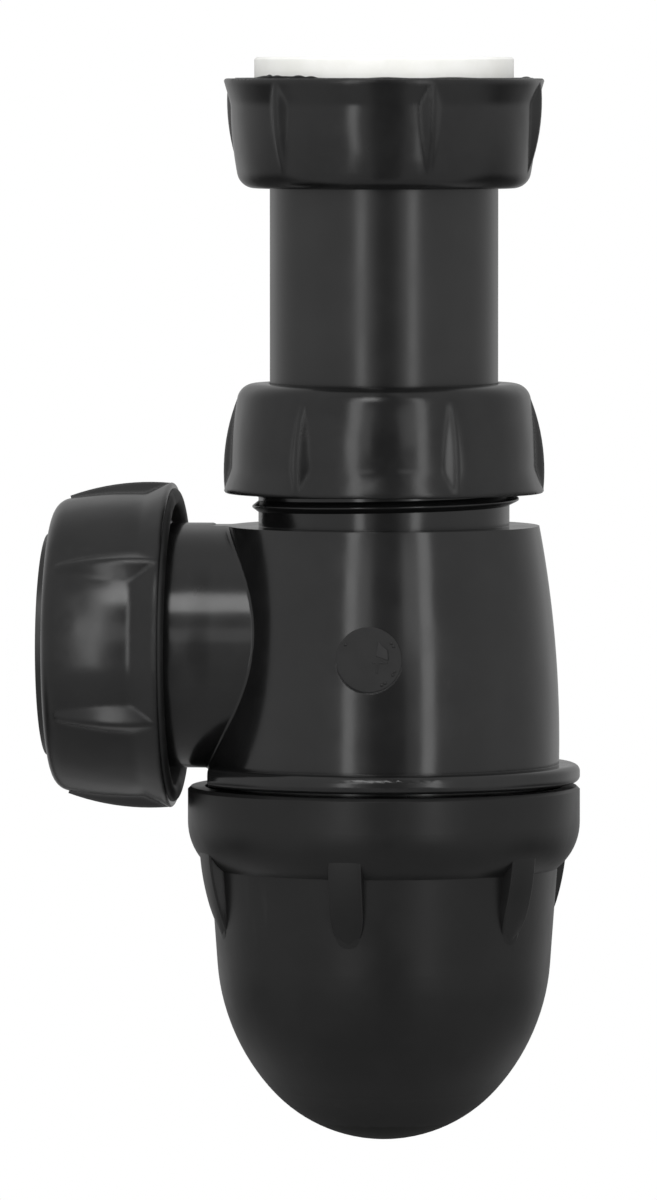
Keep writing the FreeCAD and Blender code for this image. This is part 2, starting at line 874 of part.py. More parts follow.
def build_trap_cup(document):
    """Screwed cup with a rounded collar, an egg-shaped bowl and six slanting ribs."""
    body = new_body(document, "trap_cup")
    bore = cup_bore()
    collar = bore + size("cup_collar_wall")
    edge = size("cup_collar_chamfer")
    radius = cup_wall_radius()
    crown = radius * size("cup_crown_share")
    side = radius * size("cup_side_share")
    draft = size("cup_wall_draft")
    foot = -size("cup_collar_height")
    outline = [
        Corner(ZERO, ZERO),
        Corner(collar - edge, ZERO),
        Corner(collar, -edge),
        Corner(collar, -size("cup_collar_straight"), size("cup_collar_bow"), -1),
    ]
    outline += bowl_corners(radius, foot, -size("cup_depth"), crown, side, draft)
    turn_profile(body, "Revolution", "Bowl", outline, centred_edge=len(outline) - 2)
    add_cup_ribs(body)
    wall = size("cup_wall")
    seat = cup_seat_level()
    hollow = [
        Corner(ZERO, wall),
        Corner(bore, wall),
        Corner(bore, seat),
    ]
    inner_floor = -size("cup_depth") + wall
    hollow += bowl_corners(radius - wall, seat, inner_floor, crown - wall, side - wall, draft)
    turn_profile(body, "Groove", "Hollow", hollow, centred_edge=len(hollow) - 2)
    place(body, ZERO, -cup_rim_drop(), "rotationz(Sizes.cup_turn)")
    return body


def cup_rib_face(level):
    """Return the reach of the rib face from the cup axis at a level below the cup rim."""
    draft = size("cup_wall_draft")
    slant = size("cup_rib_slant")
    drop = size("cup_rib_drop")
    tip = cup_wall_radius() - (drop - size("cup_collar_height")) * sine(draft) / cosine(draft)
    return tip + (drop - level) * sine(slant) / cosine(slant)


def add_cup_ribs(body):
    """Sweep one slanting round-edged rib down into the bowl and repeat it round the cup."""
    start = size("cup_rib_start")
    finish = size("cup_rib_drop") + size("cup_rib_overrun")
    face = cup_rib_face(start)
    path = new_sketch(body, "XZ_Plane", "RibSlant")
    low = Corner(cup_rib_face(finish), -finish)
    high = Corner(face, -start)
    path.addGeometry(Part.LineSegment(high.point(), low.point()), False)
    fix_point(path, 0, 1, high, "high")
    fix_point(path, 0, 2, low, "low")
    section = new_sketch(body, "XY_Plane", "RibSection")
    section.setExpression("AttachmentOffset.Base.z", (-start).text)
    half = size("cup_rib_width") / 2
    crown_half = size("cup_rib_crown_width") / 2
    crown = face - size("cup_rib_crown_rise")
    side = crown - size("cup_rib_edge_rise")
    edge_bow = end_upright(size("cup_rib_edge_rise"), half - crown_half)
    root = face - size("cup_rib_depth")
    draw_outline(section, [
        Corner(root, -half),
        Corner(side, -half, edge_bow),
        Corner(crown, -crown_half, size("cup_rib_crown_bow")),
        Corner(crown, crown_half, edge_bow),
        Corner(side, half),
        Corner(root, half),
    ])
    rib = body.newObject("PartDesign::AdditivePipe", "Rib")
    rib.Profile = section
    rib.Spine = (path, ["Edge1"])
    repeat_around(body, "RibCircle", [rib], size("cup_rib_count"))


BUILDERS = [
    build_inlet_washer,
    build_inlet_nut,
    build_inlet_tube,
    build_neck_slip_ring,
    build_neck_seal,
    build_neck_nut,
    build_trap_body,
    build_outlet_nut,
    build_outlet_slip_ring,
    build_outlet_seal,
    build_cup_seal,
    build_trap_cup,
]


def check_document(document):
    """Stop if any object failed to build or has no sound shape."""
    for thing in document.Objects:
        if "Invalid" in thing.State or "Error" in thing.State:
            raise RuntimeError("%s did not build: %s" % (thing.Label, thing.State))
        if thing.TypeId == "Sketcher::SketchObject" and thing.solve() != 0:
            raise RuntimeError("%s is not solved" % thing.Label)


def main():
    """Build every sub-part and write one file for each."""
    document = FreeCAD.newDocument("BasinTrap")
    fill_sheet(document)
    bodies = [builder(document) for builder in BUILDERS]
    document.recompute()
    check_document(document)
    os.makedirs("parts", exist_ok=True)
    for body in bodies:
        shape = body.Shape
        if shape.isNull() or not shape.isValid() or len(shape.Solids) != 1:
            raise RuntimeError("%s is not one sound solid" % body.Label)
        shape.exportStep("parts/%s.step" % body.Label)
        box = shape.optimalBoundingBox(True)
        print("%-18s volume %9.1f  z %8.2f %8.2f  x %8.2f %8.2f" % (
            body.Label, shape.Volume, box.ZMin, box.ZMax, box.XMin, box.XMax))


main()
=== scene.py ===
"""Studio scene of a wash basin bottle trap.

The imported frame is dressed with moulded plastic, rubber and washer finishes.  The screw threads,
the flash of the inlet nut, the lip of the outlet nut, the fins of the cup's ribs and the face and
dial of the mould mark are added as meshes of their own.  Lengths are metres and angles are radians.
"""

import logging
import math
from dataclasses import dataclass
from enum import Enum
from typing import Callable, Sequence

import bmesh
import bpy
from mathutils import Matrix, Vector


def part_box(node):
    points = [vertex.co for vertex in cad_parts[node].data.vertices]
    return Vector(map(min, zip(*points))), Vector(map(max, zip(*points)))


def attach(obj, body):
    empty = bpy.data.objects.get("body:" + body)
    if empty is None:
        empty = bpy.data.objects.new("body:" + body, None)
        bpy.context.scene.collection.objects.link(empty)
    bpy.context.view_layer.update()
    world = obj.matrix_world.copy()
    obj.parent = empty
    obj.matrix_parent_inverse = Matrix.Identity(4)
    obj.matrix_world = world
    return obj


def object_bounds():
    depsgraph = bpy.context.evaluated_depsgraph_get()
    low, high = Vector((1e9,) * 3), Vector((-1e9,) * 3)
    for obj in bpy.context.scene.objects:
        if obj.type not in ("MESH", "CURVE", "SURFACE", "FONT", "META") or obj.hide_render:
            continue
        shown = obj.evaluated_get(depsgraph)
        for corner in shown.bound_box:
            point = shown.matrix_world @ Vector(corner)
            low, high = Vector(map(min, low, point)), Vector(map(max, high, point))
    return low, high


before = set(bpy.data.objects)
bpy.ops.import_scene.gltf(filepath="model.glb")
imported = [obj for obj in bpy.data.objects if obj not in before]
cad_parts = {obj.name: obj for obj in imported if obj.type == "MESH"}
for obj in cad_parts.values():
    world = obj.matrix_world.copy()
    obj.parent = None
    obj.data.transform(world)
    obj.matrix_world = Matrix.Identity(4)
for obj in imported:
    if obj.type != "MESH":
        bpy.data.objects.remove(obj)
CAD_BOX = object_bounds()

MM = 0.001
FULL_TURN = 2.0 * math.pi
UP = Vector((0.0, 0.0, 1.0))
ACROSS = Vector((1.0, 0.0, 0.0))
PIPE_PITCH = 2.309 * MM
PIPE_CREST_RADIUS = 20.95 * MM
PIPE_BORE_RADIUS = 21.1 * MM
LOG = logging.getLogger("basin_trap")

Colour = tuple[float, float, float]
Point = tuple[float, float, float]
Rectangle = tuple[float, float, float, float]
Span = tuple[float, float]
BMesh = bmesh.types.BMesh
Socket = bpy.types.NodeSocket
Feed = float | Sequence[float] | Socket


class Node(Enum):
    """The CAD nodes of the trap."""

    INLET_WASHER = "inlet_washer"
    INLET_NUT = "inlet_nut"
    INLET_TUBE = "inlet_tube"
    NECK_SLIP_RING = "neck_slip_ring"
    NECK_SEAL = "neck_seal"
    NECK_NUT = "neck_nut"
    TRAP_BODY = "trap_body"
    OUTLET_NUT = "outlet_nut"
    OUTLET_SLIP_RING = "outlet_slip_ring"
    OUTLET_SEAL = "outlet_seal"
    CUP_SEAL = "cup_seal"
    TRAP_CUP = "trap_cup"


class Body(Enum):
    """The moving bodies that the added pieces ride on."""

    INLET_NUT = "inlet_nut"
    TRAP = "trap"
    NECK_NUT = "neck_nut"
    OUTLET_NUT = "outlet_nut"
    CUP = "cup"


class Slot(Enum):
    """The material slots of the record."""

    WHITE_WASHER = "white_washer"
    BLACK_NUT = "black_nut"
    BLACK_TUBE = "black_tube"
    BLACK_BODY = "black_body"
    BLACK_CUP = "black_cup"
    BLACK_RUBBER = "black_rubber"
    PALE_RING = "pale_ring"


class Side(Enum):
    """Which wall carries a screw thread."""

    SHAFT = 1.0
    BORE = -1.0


class NodeSheet:
    """A node tree with short calls to add and link its nodes."""

    def __init__(self, tree: bpy.types.NodeTree) -> None:
        """Keep the tree.

        Args:
            tree: The node tree that gets the nodes.
        """
        self.tree = tree

    def add(self, kind: str, **settings: object) -> bpy.types.Node:
        """Add a node.

        Args:
            kind: The node's type name.
            settings: Properties that are set on the node.

        Returns:
            The new node.
        """
        node = self.tree.nodes.new(kind)
        for name, value in settings.items():
            setattr(node, name, value)
        return node

    def link(self, source: Socket, target: Socket) -> None:
        """Link an output socket to an input socket."""
        self.tree.links.new(source, target)

    def feed(self, node: bpy.types.Node, socket: int | str, value: Feed) -> None:
        """Give an input socket a constant or a link.

        Args:
            node: The node with the socket.
            socket: The socket's index or name.
            value: A constant, or an output socket to link.
        """
        target = node.inputs[socket]
        if isinstance(value, Socket):
            self.link(value, target)
        else:
            target.default_value = value

    def math(self, operation: str, first: Feed, second: Feed = 0.0, third: Feed = 0.0) -> Socket:
        """Add a Math node.

        Args:
            operation: The operation's name.
            first: The first number or socket.
            second: The second number or socket.
            third: The third number or socket, where the operation has one.

        Returns:
            The result's socket.
        """
        node = self.add("ShaderNodeMath", operation=operation)
        for index, value in enumerate((first, second, third)):
            self.feed(node, index, value)
        return node.outputs[0]

    def spread(self, value: Feed, low: float, high: float, to_low: float, to_high: float) -> Socket:
        """Map a range of values to another one, eased and held at both ends.

        Args:
            value: The number or socket to map.
            low: Start of the range that is read.
            high: End of the range that is read.
            to_low: Result at the start.
            to_high: Result at the end.

        Returns:
            The result's socket.
        """
        node = self.add("ShaderNodeMapRange", interpolation_type="SMOOTHSTEP", clamp=True)
        for index, number in enumerate((value, low, high, to_low, to_high)):
            self.feed(node, index, number)
        return node.outputs[0]

    def noise(self, place: Socket, scale: Feed, detail: float, roughness: float) -> Socket:
        """Add a noise texture.

        Args:
            place: The coordinates' socket.
            scale: Features per metre.
            detail: Number of octaves.
            roughness: Share of the finer octaves.

        Returns:
            The socket of the noise value.
        """
        node = self.add("ShaderNodeTexNoise")
        for name, value in (("Vector", place), ("Scale", scale), ("Detail", detail), ("Roughness", roughness)):
            self.feed(node, name, value)
        return node.outputs[0]

    def blend(self, factor: Feed, first: Feed, second: Feed) -> Socket:
        """Mix two numbers.

        Args:
            factor: 0 gives the first, 1 the second.
            first: Number or socket.
            second: Number or socket.

        Returns:
            The mixed number's socket.
        """
        node = self.add("ShaderNodeMix", data_type="FLOAT")
        for index, value in ((0, factor), (2, first), (3, second)):
            self.feed(node, index, value)
        return node.outputs[0]

    def tint(self, factor: Socket, first: Colour | Socket, second: Colour | Socket) -> Socket:
        """Mix two colours by a mask.

        Args:
            factor: The mask's socket.
            first: Colour or socket where the mask is 0.
            second: Colour or socket where the mask is 1.

        Returns:
            The mixed colour's socket.
        """
        node = self.add("ShaderNodeMix", data_type="RGBA")
        self.link(factor, node.inputs[0])
        for index, colour in ((6, first), (7, second)):
            self.feed(node, index, colour if isinstance(colour, Socket) else (*colour, 1.0))
        return node.outputs[2]

    def vector(self, operation: str, first: Socket, second: Sequence[float] | None = None) -> bpy.types.Node:
        """Add a Vector Math node.

        Args:
            operation: The operation's name.
            first: The first vector's socket.
            second: The second vector, where the operation has one.

        Returns:
            The new node.
        """
        node = self.add("ShaderNodeVectorMath", operation=operation)
        self.link(first, node.inputs[0])
        if second is not None:
            node.inputs[1].default_value = second
        return node

    def level(self, vector: Socket) -> Socket:
        """Return a vector without its upright part."""
        return self.vector("MULTIPLY", vector, (1.0, 1.0, 0.0)).outputs[0]

    def reach(self, place: Socket) -> Socket:
        """Return a place's distance from the upright axis."""
        return self.vector("LENGTH", self.level(place)).outputs["Value"]

    def along(self, direction: Socket, axis: Vector) -> Socket:
        """Return the share of a direction along an axis."""
        return self.vector("DOT_PRODUCT", direction, axis).outputs["Value"]


class SurfaceGroups:
    """The node groups that several finishes share."""

    def __init__(self) -> None:
        """Build each group once."""
        self.skin = self._moulded_skin()
        self.scuffs = self._handling_scuffs()

    @staticmethod
    def _new_group(name: str, inputs: dict[str, float], outputs: Sequence[str]) -> bpy.types.NodeTree:
        """Make an empty group with named sockets.

        Args:
            name: The group's name.
            inputs: Default values of the number inputs by name.
            outputs: Names of the number outputs.

        Returns:
            The group's node tree.
        """
        tree = bpy.data.node_groups.new(name, "ShaderNodeTree")
        for label, value in inputs.items():
            socket = tree.interface.new_socket(name=label, in_out="INPUT", socket_type="NodeSocketFloat")
            socket.default_value = value
        for label in outputs:
            tree.interface.new_socket(name=label, in_out="OUTPUT", socket_type="NodeSocketFloat")
        return tree

    def _moulded_skin(self) -> bpy.types.NodeTree:
        """Make the skin of a moulding: fine peel, slow waves and cloudy tone.

        Returns:
            The group with the outputs Height and Cloud.
        """
        fine_detail, fine_share = 2.0, 0.55
        slow_detail, slow_share = 1.0, 0.4
        cloud_detail, cloud_share = 3.0, 0.6
        cloud_low, cloud_high = 0.3, 0.7
        numbers = {"Peel Scale": 1600.0, "Wave Scale": 90.0, "Wave Weight": 20.0}
        tree = self._new_group("moulded_skin", numbers, ("Height", "Cloud"))
        sheet = NodeSheet(tree)
        inputs = sheet.add("NodeGroupInput")
        outputs = sheet.add("NodeGroupOutput")
        place = sheet.add("ShaderNodeTexCoord").outputs["Object"]
        peel = sheet.noise(place, inputs.outputs["Peel Scale"], fine_detail, fine_share)
        wave = sheet.noise(place, inputs.outputs["Wave Scale"], slow_detail, slow_share)
        cloud = sheet.noise(place, inputs.outputs["Wave Scale"], cloud_detail, cloud_share)
        height = sheet.math("MULTIPLY_ADD", wave, inputs.outputs["Wave Weight"], peel)
        sheet.link(height, outputs.inputs["Height"])
        sheet.link(sheet.spread(cloud, cloud_low, cloud_high, 0.0, 1.0), outputs.inputs["Cloud"])
        return tree

    def _handling_scuffs(self) -> bpy.types.NodeTree:
        """Make the thin rubbed lines that handling leaves.

        Returns:
            The group with the output Mask.
        """
        stretch = (1.0, 1.0, 0.12)
        tilts = (math.radians(38.0), math.radians(-52.0))
        line_detail, line_share = 4.0, 0.7
        line_low, line_high = 0.62, 0.74
        patch_scale, patch_detail, patch_share = 45.0, 2.0, 0.5
        patch_low, patch_high = 0.5, 0.68
        tree = self._new_group("handling_scuffs", {"Scale": 260.0, "Amount": 0.5}, ("Mask",))
        sheet = NodeSheet(tree)
        inputs = sheet.add("NodeGroupInput")
        outputs = sheet.add("NodeGroupOutput")
        place = sheet.add("ShaderNodeTexCoord").outputs["Object"]
        lines = None
        for tilt in tilts:
            turned = sheet.add("ShaderNodeMapping")
            sheet.link(place, turned.inputs["Vector"])
            turned.inputs["Rotation"].default_value = (tilt, tilt, 0.0)
            turned.inputs["Scale"].default_value = stretch
            streak = sheet.noise(turned.outputs[0], inputs.outputs["Scale"], line_detail, line_share)
            thin = sheet.spread(streak, line_low, line_high, 0.0, 1.0)
            lines = thin if lines is None else sheet.math("MAXIMUM", lines, thin)
        blotch = sheet.noise(place, patch_scale, patch_detail, patch_share)
        patch = sheet.spread(blotch, patch_low, patch_high, 0.0, 1.0)
        masked = sheet.math("MULTIPLY", lines, patch)
        sheet.link(sheet.math("MULTIPLY", masked, inputs.outputs["Amount"]), outputs.inputs["Mask"])
        return tree


@dataclass(frozen=True)
class Finish:
    """A moulded finish: colour, gloss, skin texture and rubbed marks."""

    name: str
    colour: Colour
    pale_colour: Colour
    roughness: float
    roughness_spread: float
    refraction: float
    peel_scale: float
    wave_scale: float
    wave_weight: float
    peel_depth: float
    scuffs: float
    scuff_colour: Colour
    edge_round: float = 0.16 * MM
    edge_samples: int = 6

    def build(self, groups: SurfaceGroups) -> bpy.types.Material:
        """Make the material.

        Args:
            groups: The shared node groups.

        Returns:
            The finished material.
        """
        material = bpy.data.materials.new(self.name)
        material.use_nodes = True
        sheet = NodeSheet(material.node_tree)
        sheet.tree.nodes.clear()
        shader = sheet.add("ShaderNodeBsdfPrincipled")
        shader.inputs["IOR"].default_value = self.refraction
        place = sheet.add("ShaderNodeTexCoord").outputs["Object"]
        skin = sheet.add("ShaderNodeGroup", node_tree=groups.skin)
        skin.inputs["Peel Scale"].default_value = self.peel_scale
        skin.inputs["Wave Scale"].default_value = self.wave_scale
        sheet.feed(skin, "Wave Weight", self._waves(sheet, place))
        marks = sheet.add("ShaderNodeGroup", node_tree=groups.scuffs)
        marks.inputs["Amount"].default_value = self.scuffs
        tone = sheet.tint(skin.outputs["Cloud"], self.colour, self.pale_colour)
        rubbed = sheet.tint(marks.outputs["Mask"], tone, self.scuff_colour)
        cloudy = sheet.spread(skin.outputs["Cloud"], 0.0, 1.0, self.roughness - self.roughness_spread,
                              self.roughness + self.roughness_spread)
        dull = sheet.math("MULTIPLY_ADD", marks.outputs["Mask"], self.roughness_spread, cloudy)
        colour, roughness = self._patch(sheet, place, rubbed, dull)
        sheet.link(colour, shader.inputs["Base Color"])
        sheet.link(roughness, shader.inputs["Roughness"])
        sheet.link(self._relief(sheet, skin.outputs["Height"]), shader.inputs["Normal"])
        output = sheet.add("ShaderNodeOutputMaterial")
        sheet.link(shader.outputs[0], output.inputs["Surface"])
        return material

    def _relief(self, sheet: NodeSheet, height: Socket) -> Socket:
        """Make the normal of the skin, with edges that catch the light as if rounded.

        Args:
            sheet: The material's nodes.
            height: The skin's height.

        Returns:
            The normal's socket.
        """
        bump = sheet.add("ShaderNodeBump")
        bump.inputs["Strength"].default_value = 1.0
        bump.inputs["Distance"].default_value = self.peel_depth
        sheet.link(height, bump.inputs["Height"])
        edges = sheet.add("ShaderNodeBevel", samples=self.edge_samples)
        edges.inputs["Radius"].default_value = self.edge_round
        sheet.link(edges.outputs["Normal"], bump.inputs["Normal"])
        return bump.outputs["Normal"]

    def _waves(self, sheet: NodeSheet, place: Socket) -> Feed:
        """Return the weight of the slow waves, alike all over."""
        return self.wave_weight

    def _patch(self, sheet: NodeSheet, place: Socket, colour: Socket, roughness: Socket) -> tuple[Socket, Socket]:
        """Return colour and roughness as they are, without a patch of its own."""
        return colour, roughness


@dataclass(frozen=True)
class StubbedFinish(Finish):
    """The finish of the trap body, with stronger waves in the skin of its outlet stub."""

    stub_start: float = -25.0 * MM
    stub_full: float = -29.0 * MM
    stub_weight: float = 140.0

    def _waves(self, sheet: NodeSheet, place: Socket) -> Feed:
        """Make the weight of the waves grow towards the outlet.

        Args:
            sheet: The material's nodes.
            place: The coordinates' socket.

        Returns:
            The weight's socket.
        """
        parts = sheet.add("ShaderNodeSeparateXYZ")
        sheet.link(place, parts.inputs[0])
        return sheet.spread(parts.outputs["X"], self.stub_full, self.stub_start, self.stub_weight, self.wave_weight)


@dataclass(frozen=True)
class FootedFinish(Finish):
    """The finish of the cup, with the dull round patch that the moulding leaves under it.

    The patch's colour ends in a ragged edge, and its dullness fades out in the wall round it.
    """

    foot_radius: float = 11.3 * MM
    foot_edge: float = 0.35 * MM
    foot_sway: float = 1.40 * MM
    foot_fade: float = 12.0 * MM
    foot_colour: Colour = (0.0014, 0.0014, 0.0011)
    foot_roughness: float = 0.85
    ragged_scale: float = 700.0
    ragged_detail: float = 2.0
    ragged_share: float = 0.5

    def _patch(self, sheet: NodeSheet, place: Socket, colour: Socket, roughness: Socket) -> tuple[Socket, Socket]:
        """Lay the dull patch round the lowest point.

        Args:
            sheet: The material's nodes.
            place: The coordinates' socket.
            colour: Colour of the rest.
            roughness: Roughness of the rest.

        Returns:
            The sockets of colour and roughness with the patch.
        """
        reach = sheet.reach(place)
        wander = sheet.noise(place, self.ragged_scale, self.ragged_detail, self.ragged_share)
        ragged = sheet.math("MULTIPLY_ADD", wander, self.foot_sway, reach)
        outer = self.foot_radius + self.foot_sway / 2.0
        mask = sheet.spread(ragged, outer - self.foot_edge, outer + self.foot_edge, 1.0, 0.0)
        fading = sheet.spread(reach, self.foot_radius, self.foot_radius + self.foot_fade, 1.0, 0.0)
        return sheet.tint(mask, colour, self.foot_colour), sheet.blend(fading, roughness, self.foot_roughness)


NUT_REFRACTION = 1.362
BLACK_REFRACTION = 1.385
CUP_REFRACTION = 1.285
TUBE_REFRACTION = 1.405
SOFT_REFRACTION = 1.45

FINISHES: dict[Slot, Finish] = {
    Slot.BLACK_NUT: Finish(
        name="satin_black_nut", colour=(0.0054, 0.0054, 0.0055), pale_colour=(0.0080, 0.0080, 0.0081),
        roughness=0.165, roughness_spread=0.025, refraction=NUT_REFRACTION, peel_scale=1500.0,
        wave_scale=150.0, wave_weight=60.0, peel_depth=2.2e-6, scuffs=0.35, scuff_colour=(0.024, 0.024, 0.024),
        edge_round=1.10 * MM),
    Slot.BLACK_TUBE: Finish(
        name="smooth_black_tube", colour=(0.0068, 0.0068, 0.0068), pale_colour=(0.0094, 0.0094, 0.0094),
        roughness=0.250, roughness_spread=0.02, refraction=TUBE_REFRACTION, peel_scale=1900.0,
        wave_scale=80.0, wave_weight=50.0, peel_depth=1.2e-6, scuffs=0.25, scuff_colour=(0.022, 0.022, 0.022)),
    Slot.BLACK_BODY: StubbedFinish(
        name="satin_black_body", colour=(0.0062, 0.0062, 0.0063), pale_colour=(0.0086, 0.0086, 0.0087),
        roughness=0.170, roughness_spread=0.02, refraction=BLACK_REFRACTION, peel_scale=1600.0,
        wave_scale=110.0, wave_weight=50.0, peel_depth=1.6e-6, scuffs=0.25, scuff_colour=(0.022, 0.022, 0.022)),
    Slot.BLACK_CUP: FootedFinish(
        name="satin_black_cup", colour=(0.0066, 0.0066, 0.0066), pale_colour=(0.0086, 0.0086, 0.0086),
        roughness=0.355, roughness_spread=0.03, refraction=CUP_REFRACTION, peel_scale=1500.0,
        wave_scale=90.0, wave_weight=45.0, peel_depth=1.8e-6, scuffs=0.3, scuff_colour=(0.020, 0.020, 0.020)),
    Slot.BLACK_RUBBER: Finish(
        name="black_rubber", colour=(0.0060, 0.0060, 0.0060), pale_colour=(0.0110, 0.0110, 0.0110),
        roughness=0.34, roughness_spread=0.06, refraction=SOFT_REFRACTION, peel_scale=2600.0,
        wave_scale=150.0, wave_weight=8.0, peel_depth=3.0e-6, scuffs=0.2, scuff_colour=(0.026, 0.026, 0.026)),
    Slot.WHITE_WASHER: Finish(
        name="soft_white_washer", colour=(0.89, 0.89, 0.85), pale_colour=(0.95, 0.95, 0.92),
        roughness=0.42, roughness_spread=0.05, refraction=SOFT_REFRACTION, peel_scale=1400.0,
        wave_scale=160.0, wave_weight=8.0, peel_depth=2.4e-6, scuffs=0.3, scuff_colour=(0.78, 0.78, 0.74)),
    Slot.PALE_RING: Finish(
        name="plain_pale_ring", colour=(0.56, 0.56, 0.53), pale_colour=(0.64, 0.64, 0.61),
        roughness=0.40, roughness_spread=0.05, refraction=SOFT_REFRACTION, peel_scale=1400.0,
        wave_scale=160.0, wave_weight=8.0, peel_depth=2.0e-6, scuffs=0.3, scuff_colour=(0.50, 0.50, 0.47)),
}

MARK_FINISH = Finish(
    name="matt_black_mark", colour=(0.0042, 0.0042, 0.0043), pale_colour=(0.0075, 0.0075, 0.0076),
    roughness=0.46, roughness_spread=0.05, refraction=BLACK_REFRACTION, peel_scale=5200.0,
    wave_scale=400.0, wave_weight=3.0, peel_depth=4.0e-6, scuffs=0.2, scuff_colour=(0.024, 0.024, 0.024))

RIM_FINISH = Finish(
    name="dull_black_rim", colour=(0.0054, 0.0054, 0.0055), pale_colour=(0.0080, 0.0080, 0.0081),
    roughness=0.56, roughness_spread=0.05, refraction=NUT_REFRACTION, peel_scale=2600.0,
    wave_scale=300.0, wave_weight=6.0, peel_depth=3.0e-6, scuffs=0.4, scuff_colour=(0.022, 0.022, 0.022))


class Wardrobe:
    """Gives every piece the material of its slot."""

    def __init__(self) -> None:
        """Build the material of each slot."""
        groups = SurfaceGroups()
        self.materials = {slot: finish.build(groups) for slot, finish in FINISHES.items()}
        self.matt_mark = MARK_FINISH.build(groups)
        self.dull_rim = RIM_FINISH.build(groups)

    def dress_node(self, node: Node, slot: Slot) -> None:
        """Dress a CAD node.

        Args:
            node: The node.
            slot: The slot whose material it gets.
        """
        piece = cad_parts[node.value]
        for place in piece.material_slots:
            place.material = self.materials[slot]
        LOG.info("dressed %s as %s", node.value, slot.value)

    def add_piece(self, piece: bpy.types.Object, body: Body, slot: Slot,
                  material: bpy.types.Material | None = None) -> None:
        """Dress a new piece and let it ride on a body.

        Args:
            piece: The piece.
            body: The body that it moves with.
            slot: The piece's slot.
            material: A material to use in place of the slot's own.
        """
        piece.data.materials.append(material or self.materials[slot])
        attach(piece, body.value)
        LOG.info("added %s on %s", piece.name, body.value)


def make_piece(name: str, mesh_maker: Callable[[BMesh], None], sharp_angle: float) -> bpy.types.Object:
    """Make an object from a mesh that a function fills.

    Args:
        name: The object's name.
        mesh_maker: Fills the empty mesh.
        sharp_angle: Edges with a larger angle between their faces stay sharp.

    Returns:
        The new object, linked to the scene.
    """
    work = bmesh.new()
    mesh_maker(work)
    bmesh.ops.recalc_face_normals(work, faces=work.faces)
    mesh = bpy.data.meshes.new(name)
    work.to_mesh(mesh)
    work.free()
    mesh.shade_smooth()
    mesh.set_sharp_from_angle(angle=sharp_angle)
    piece = bpy.data.objects.new(name, mesh)
    bpy.context.scene.collection.objects.link(piece)
    return piece


def join_rings(work: BMesh, rings: Sequence[Sequence[Vector]], closed: bool) -> None:
    """Join rings of points to a skin.

    Args:
        work: The mesh that gets the faces.
        rings: Rings with as many points each.
        closed: Join the last ring to the first instead of capping both ends.
    """
    rows = [[work.verts.new(point) for point in ring] for ring in rings]
    count = len(rows[0])
    last = len(rows) if closed else len(rows) - 1
    for index in range(last):
        one, two = rows[index], rows[(index + 1) % len(rows)]
        for corner in range(count):
            after = (corner + 1) % count
            work.faces.new((one[corner], one[after], two[after], two[corner]))
    if not closed:
        work.faces.new(rows[0])
        work.faces.new(rows[-1])


@dataclass
class ScrewThread:
    """A right-handed helical ridge that runs out at both ends."""

    name: str
    side: Side
    foot: Vector
    axis: Vector
    zero: Vector
    pitch: float
    turns: Span
    root_radius: float
    crest_radius: float
    crest_width: float
    runout_turns: float = 0.3
    least_share: float = 0.02
    flank_slope: float = math.tan(math.radians(27.5))
    crest_round: float = 0.12 * MM
    sink: float = 0.06 * MM
    steps_per_turn: int = 72
    sharp_angle: float = math.radians(50.0)

    def build(self) -> bpy.types.Object:
        """Build the ridge and return its object."""
        return make_piece(self.name, self._fill, self.sharp_angle)

    def _fill(self, work: BMesh) -> None:
        """Fill a mesh with the ridge.

        Args:
            work: The mesh.
        """
        start, end = self.turns
        steps = round((end - start) * self.steps_per_turn)
        rings = [self._ring(start + (end - start) * step / steps) for step in range(steps + 1)]
        join_rings(work, rings, closed=False)

    def _ring(self, turn: float) -> list[Vector]:
        """Work out the section of the ridge at a turn.

        Args:
            turn: Turns from the zero direction.

        Returns:
            The section's corners.
        """
        start, end = self.turns
        share = max(self.least_share, min(1.0, min(turn - start, end - turn) / self.runout_turns))
        eased = share * share * (3.0 - 2.0 * share)
        full_height = abs(self.crest_radius - self.root_radius)
        height = full_height * eased
        half_crest = self.crest_width / 2.0
        half_root = half_crest + full_height * self.flank_slope
        blunt = min(self.crest_round, height / 2.0)
        across = (
            (-self.sink, -half_root),
            (height - blunt, -half_crest - blunt * self.flank_slope),
            (height, -half_crest + blunt / 2.0),
            (height, half_crest - blunt / 2.0),
            (height - blunt, half_crest + blunt * self.flank_slope),
            (-self.sink, half_root),
        )
        spoke = Matrix.Rotation(turn * FULL_TURN, 3, self.axis) @ self.zero
        middle = self.foot + self.axis * (self.pitch * turn)
        return [
            middle + self.axis * along + spoke * (self.root_radius + self.side.value * rise)
            for rise, along in across
        ]


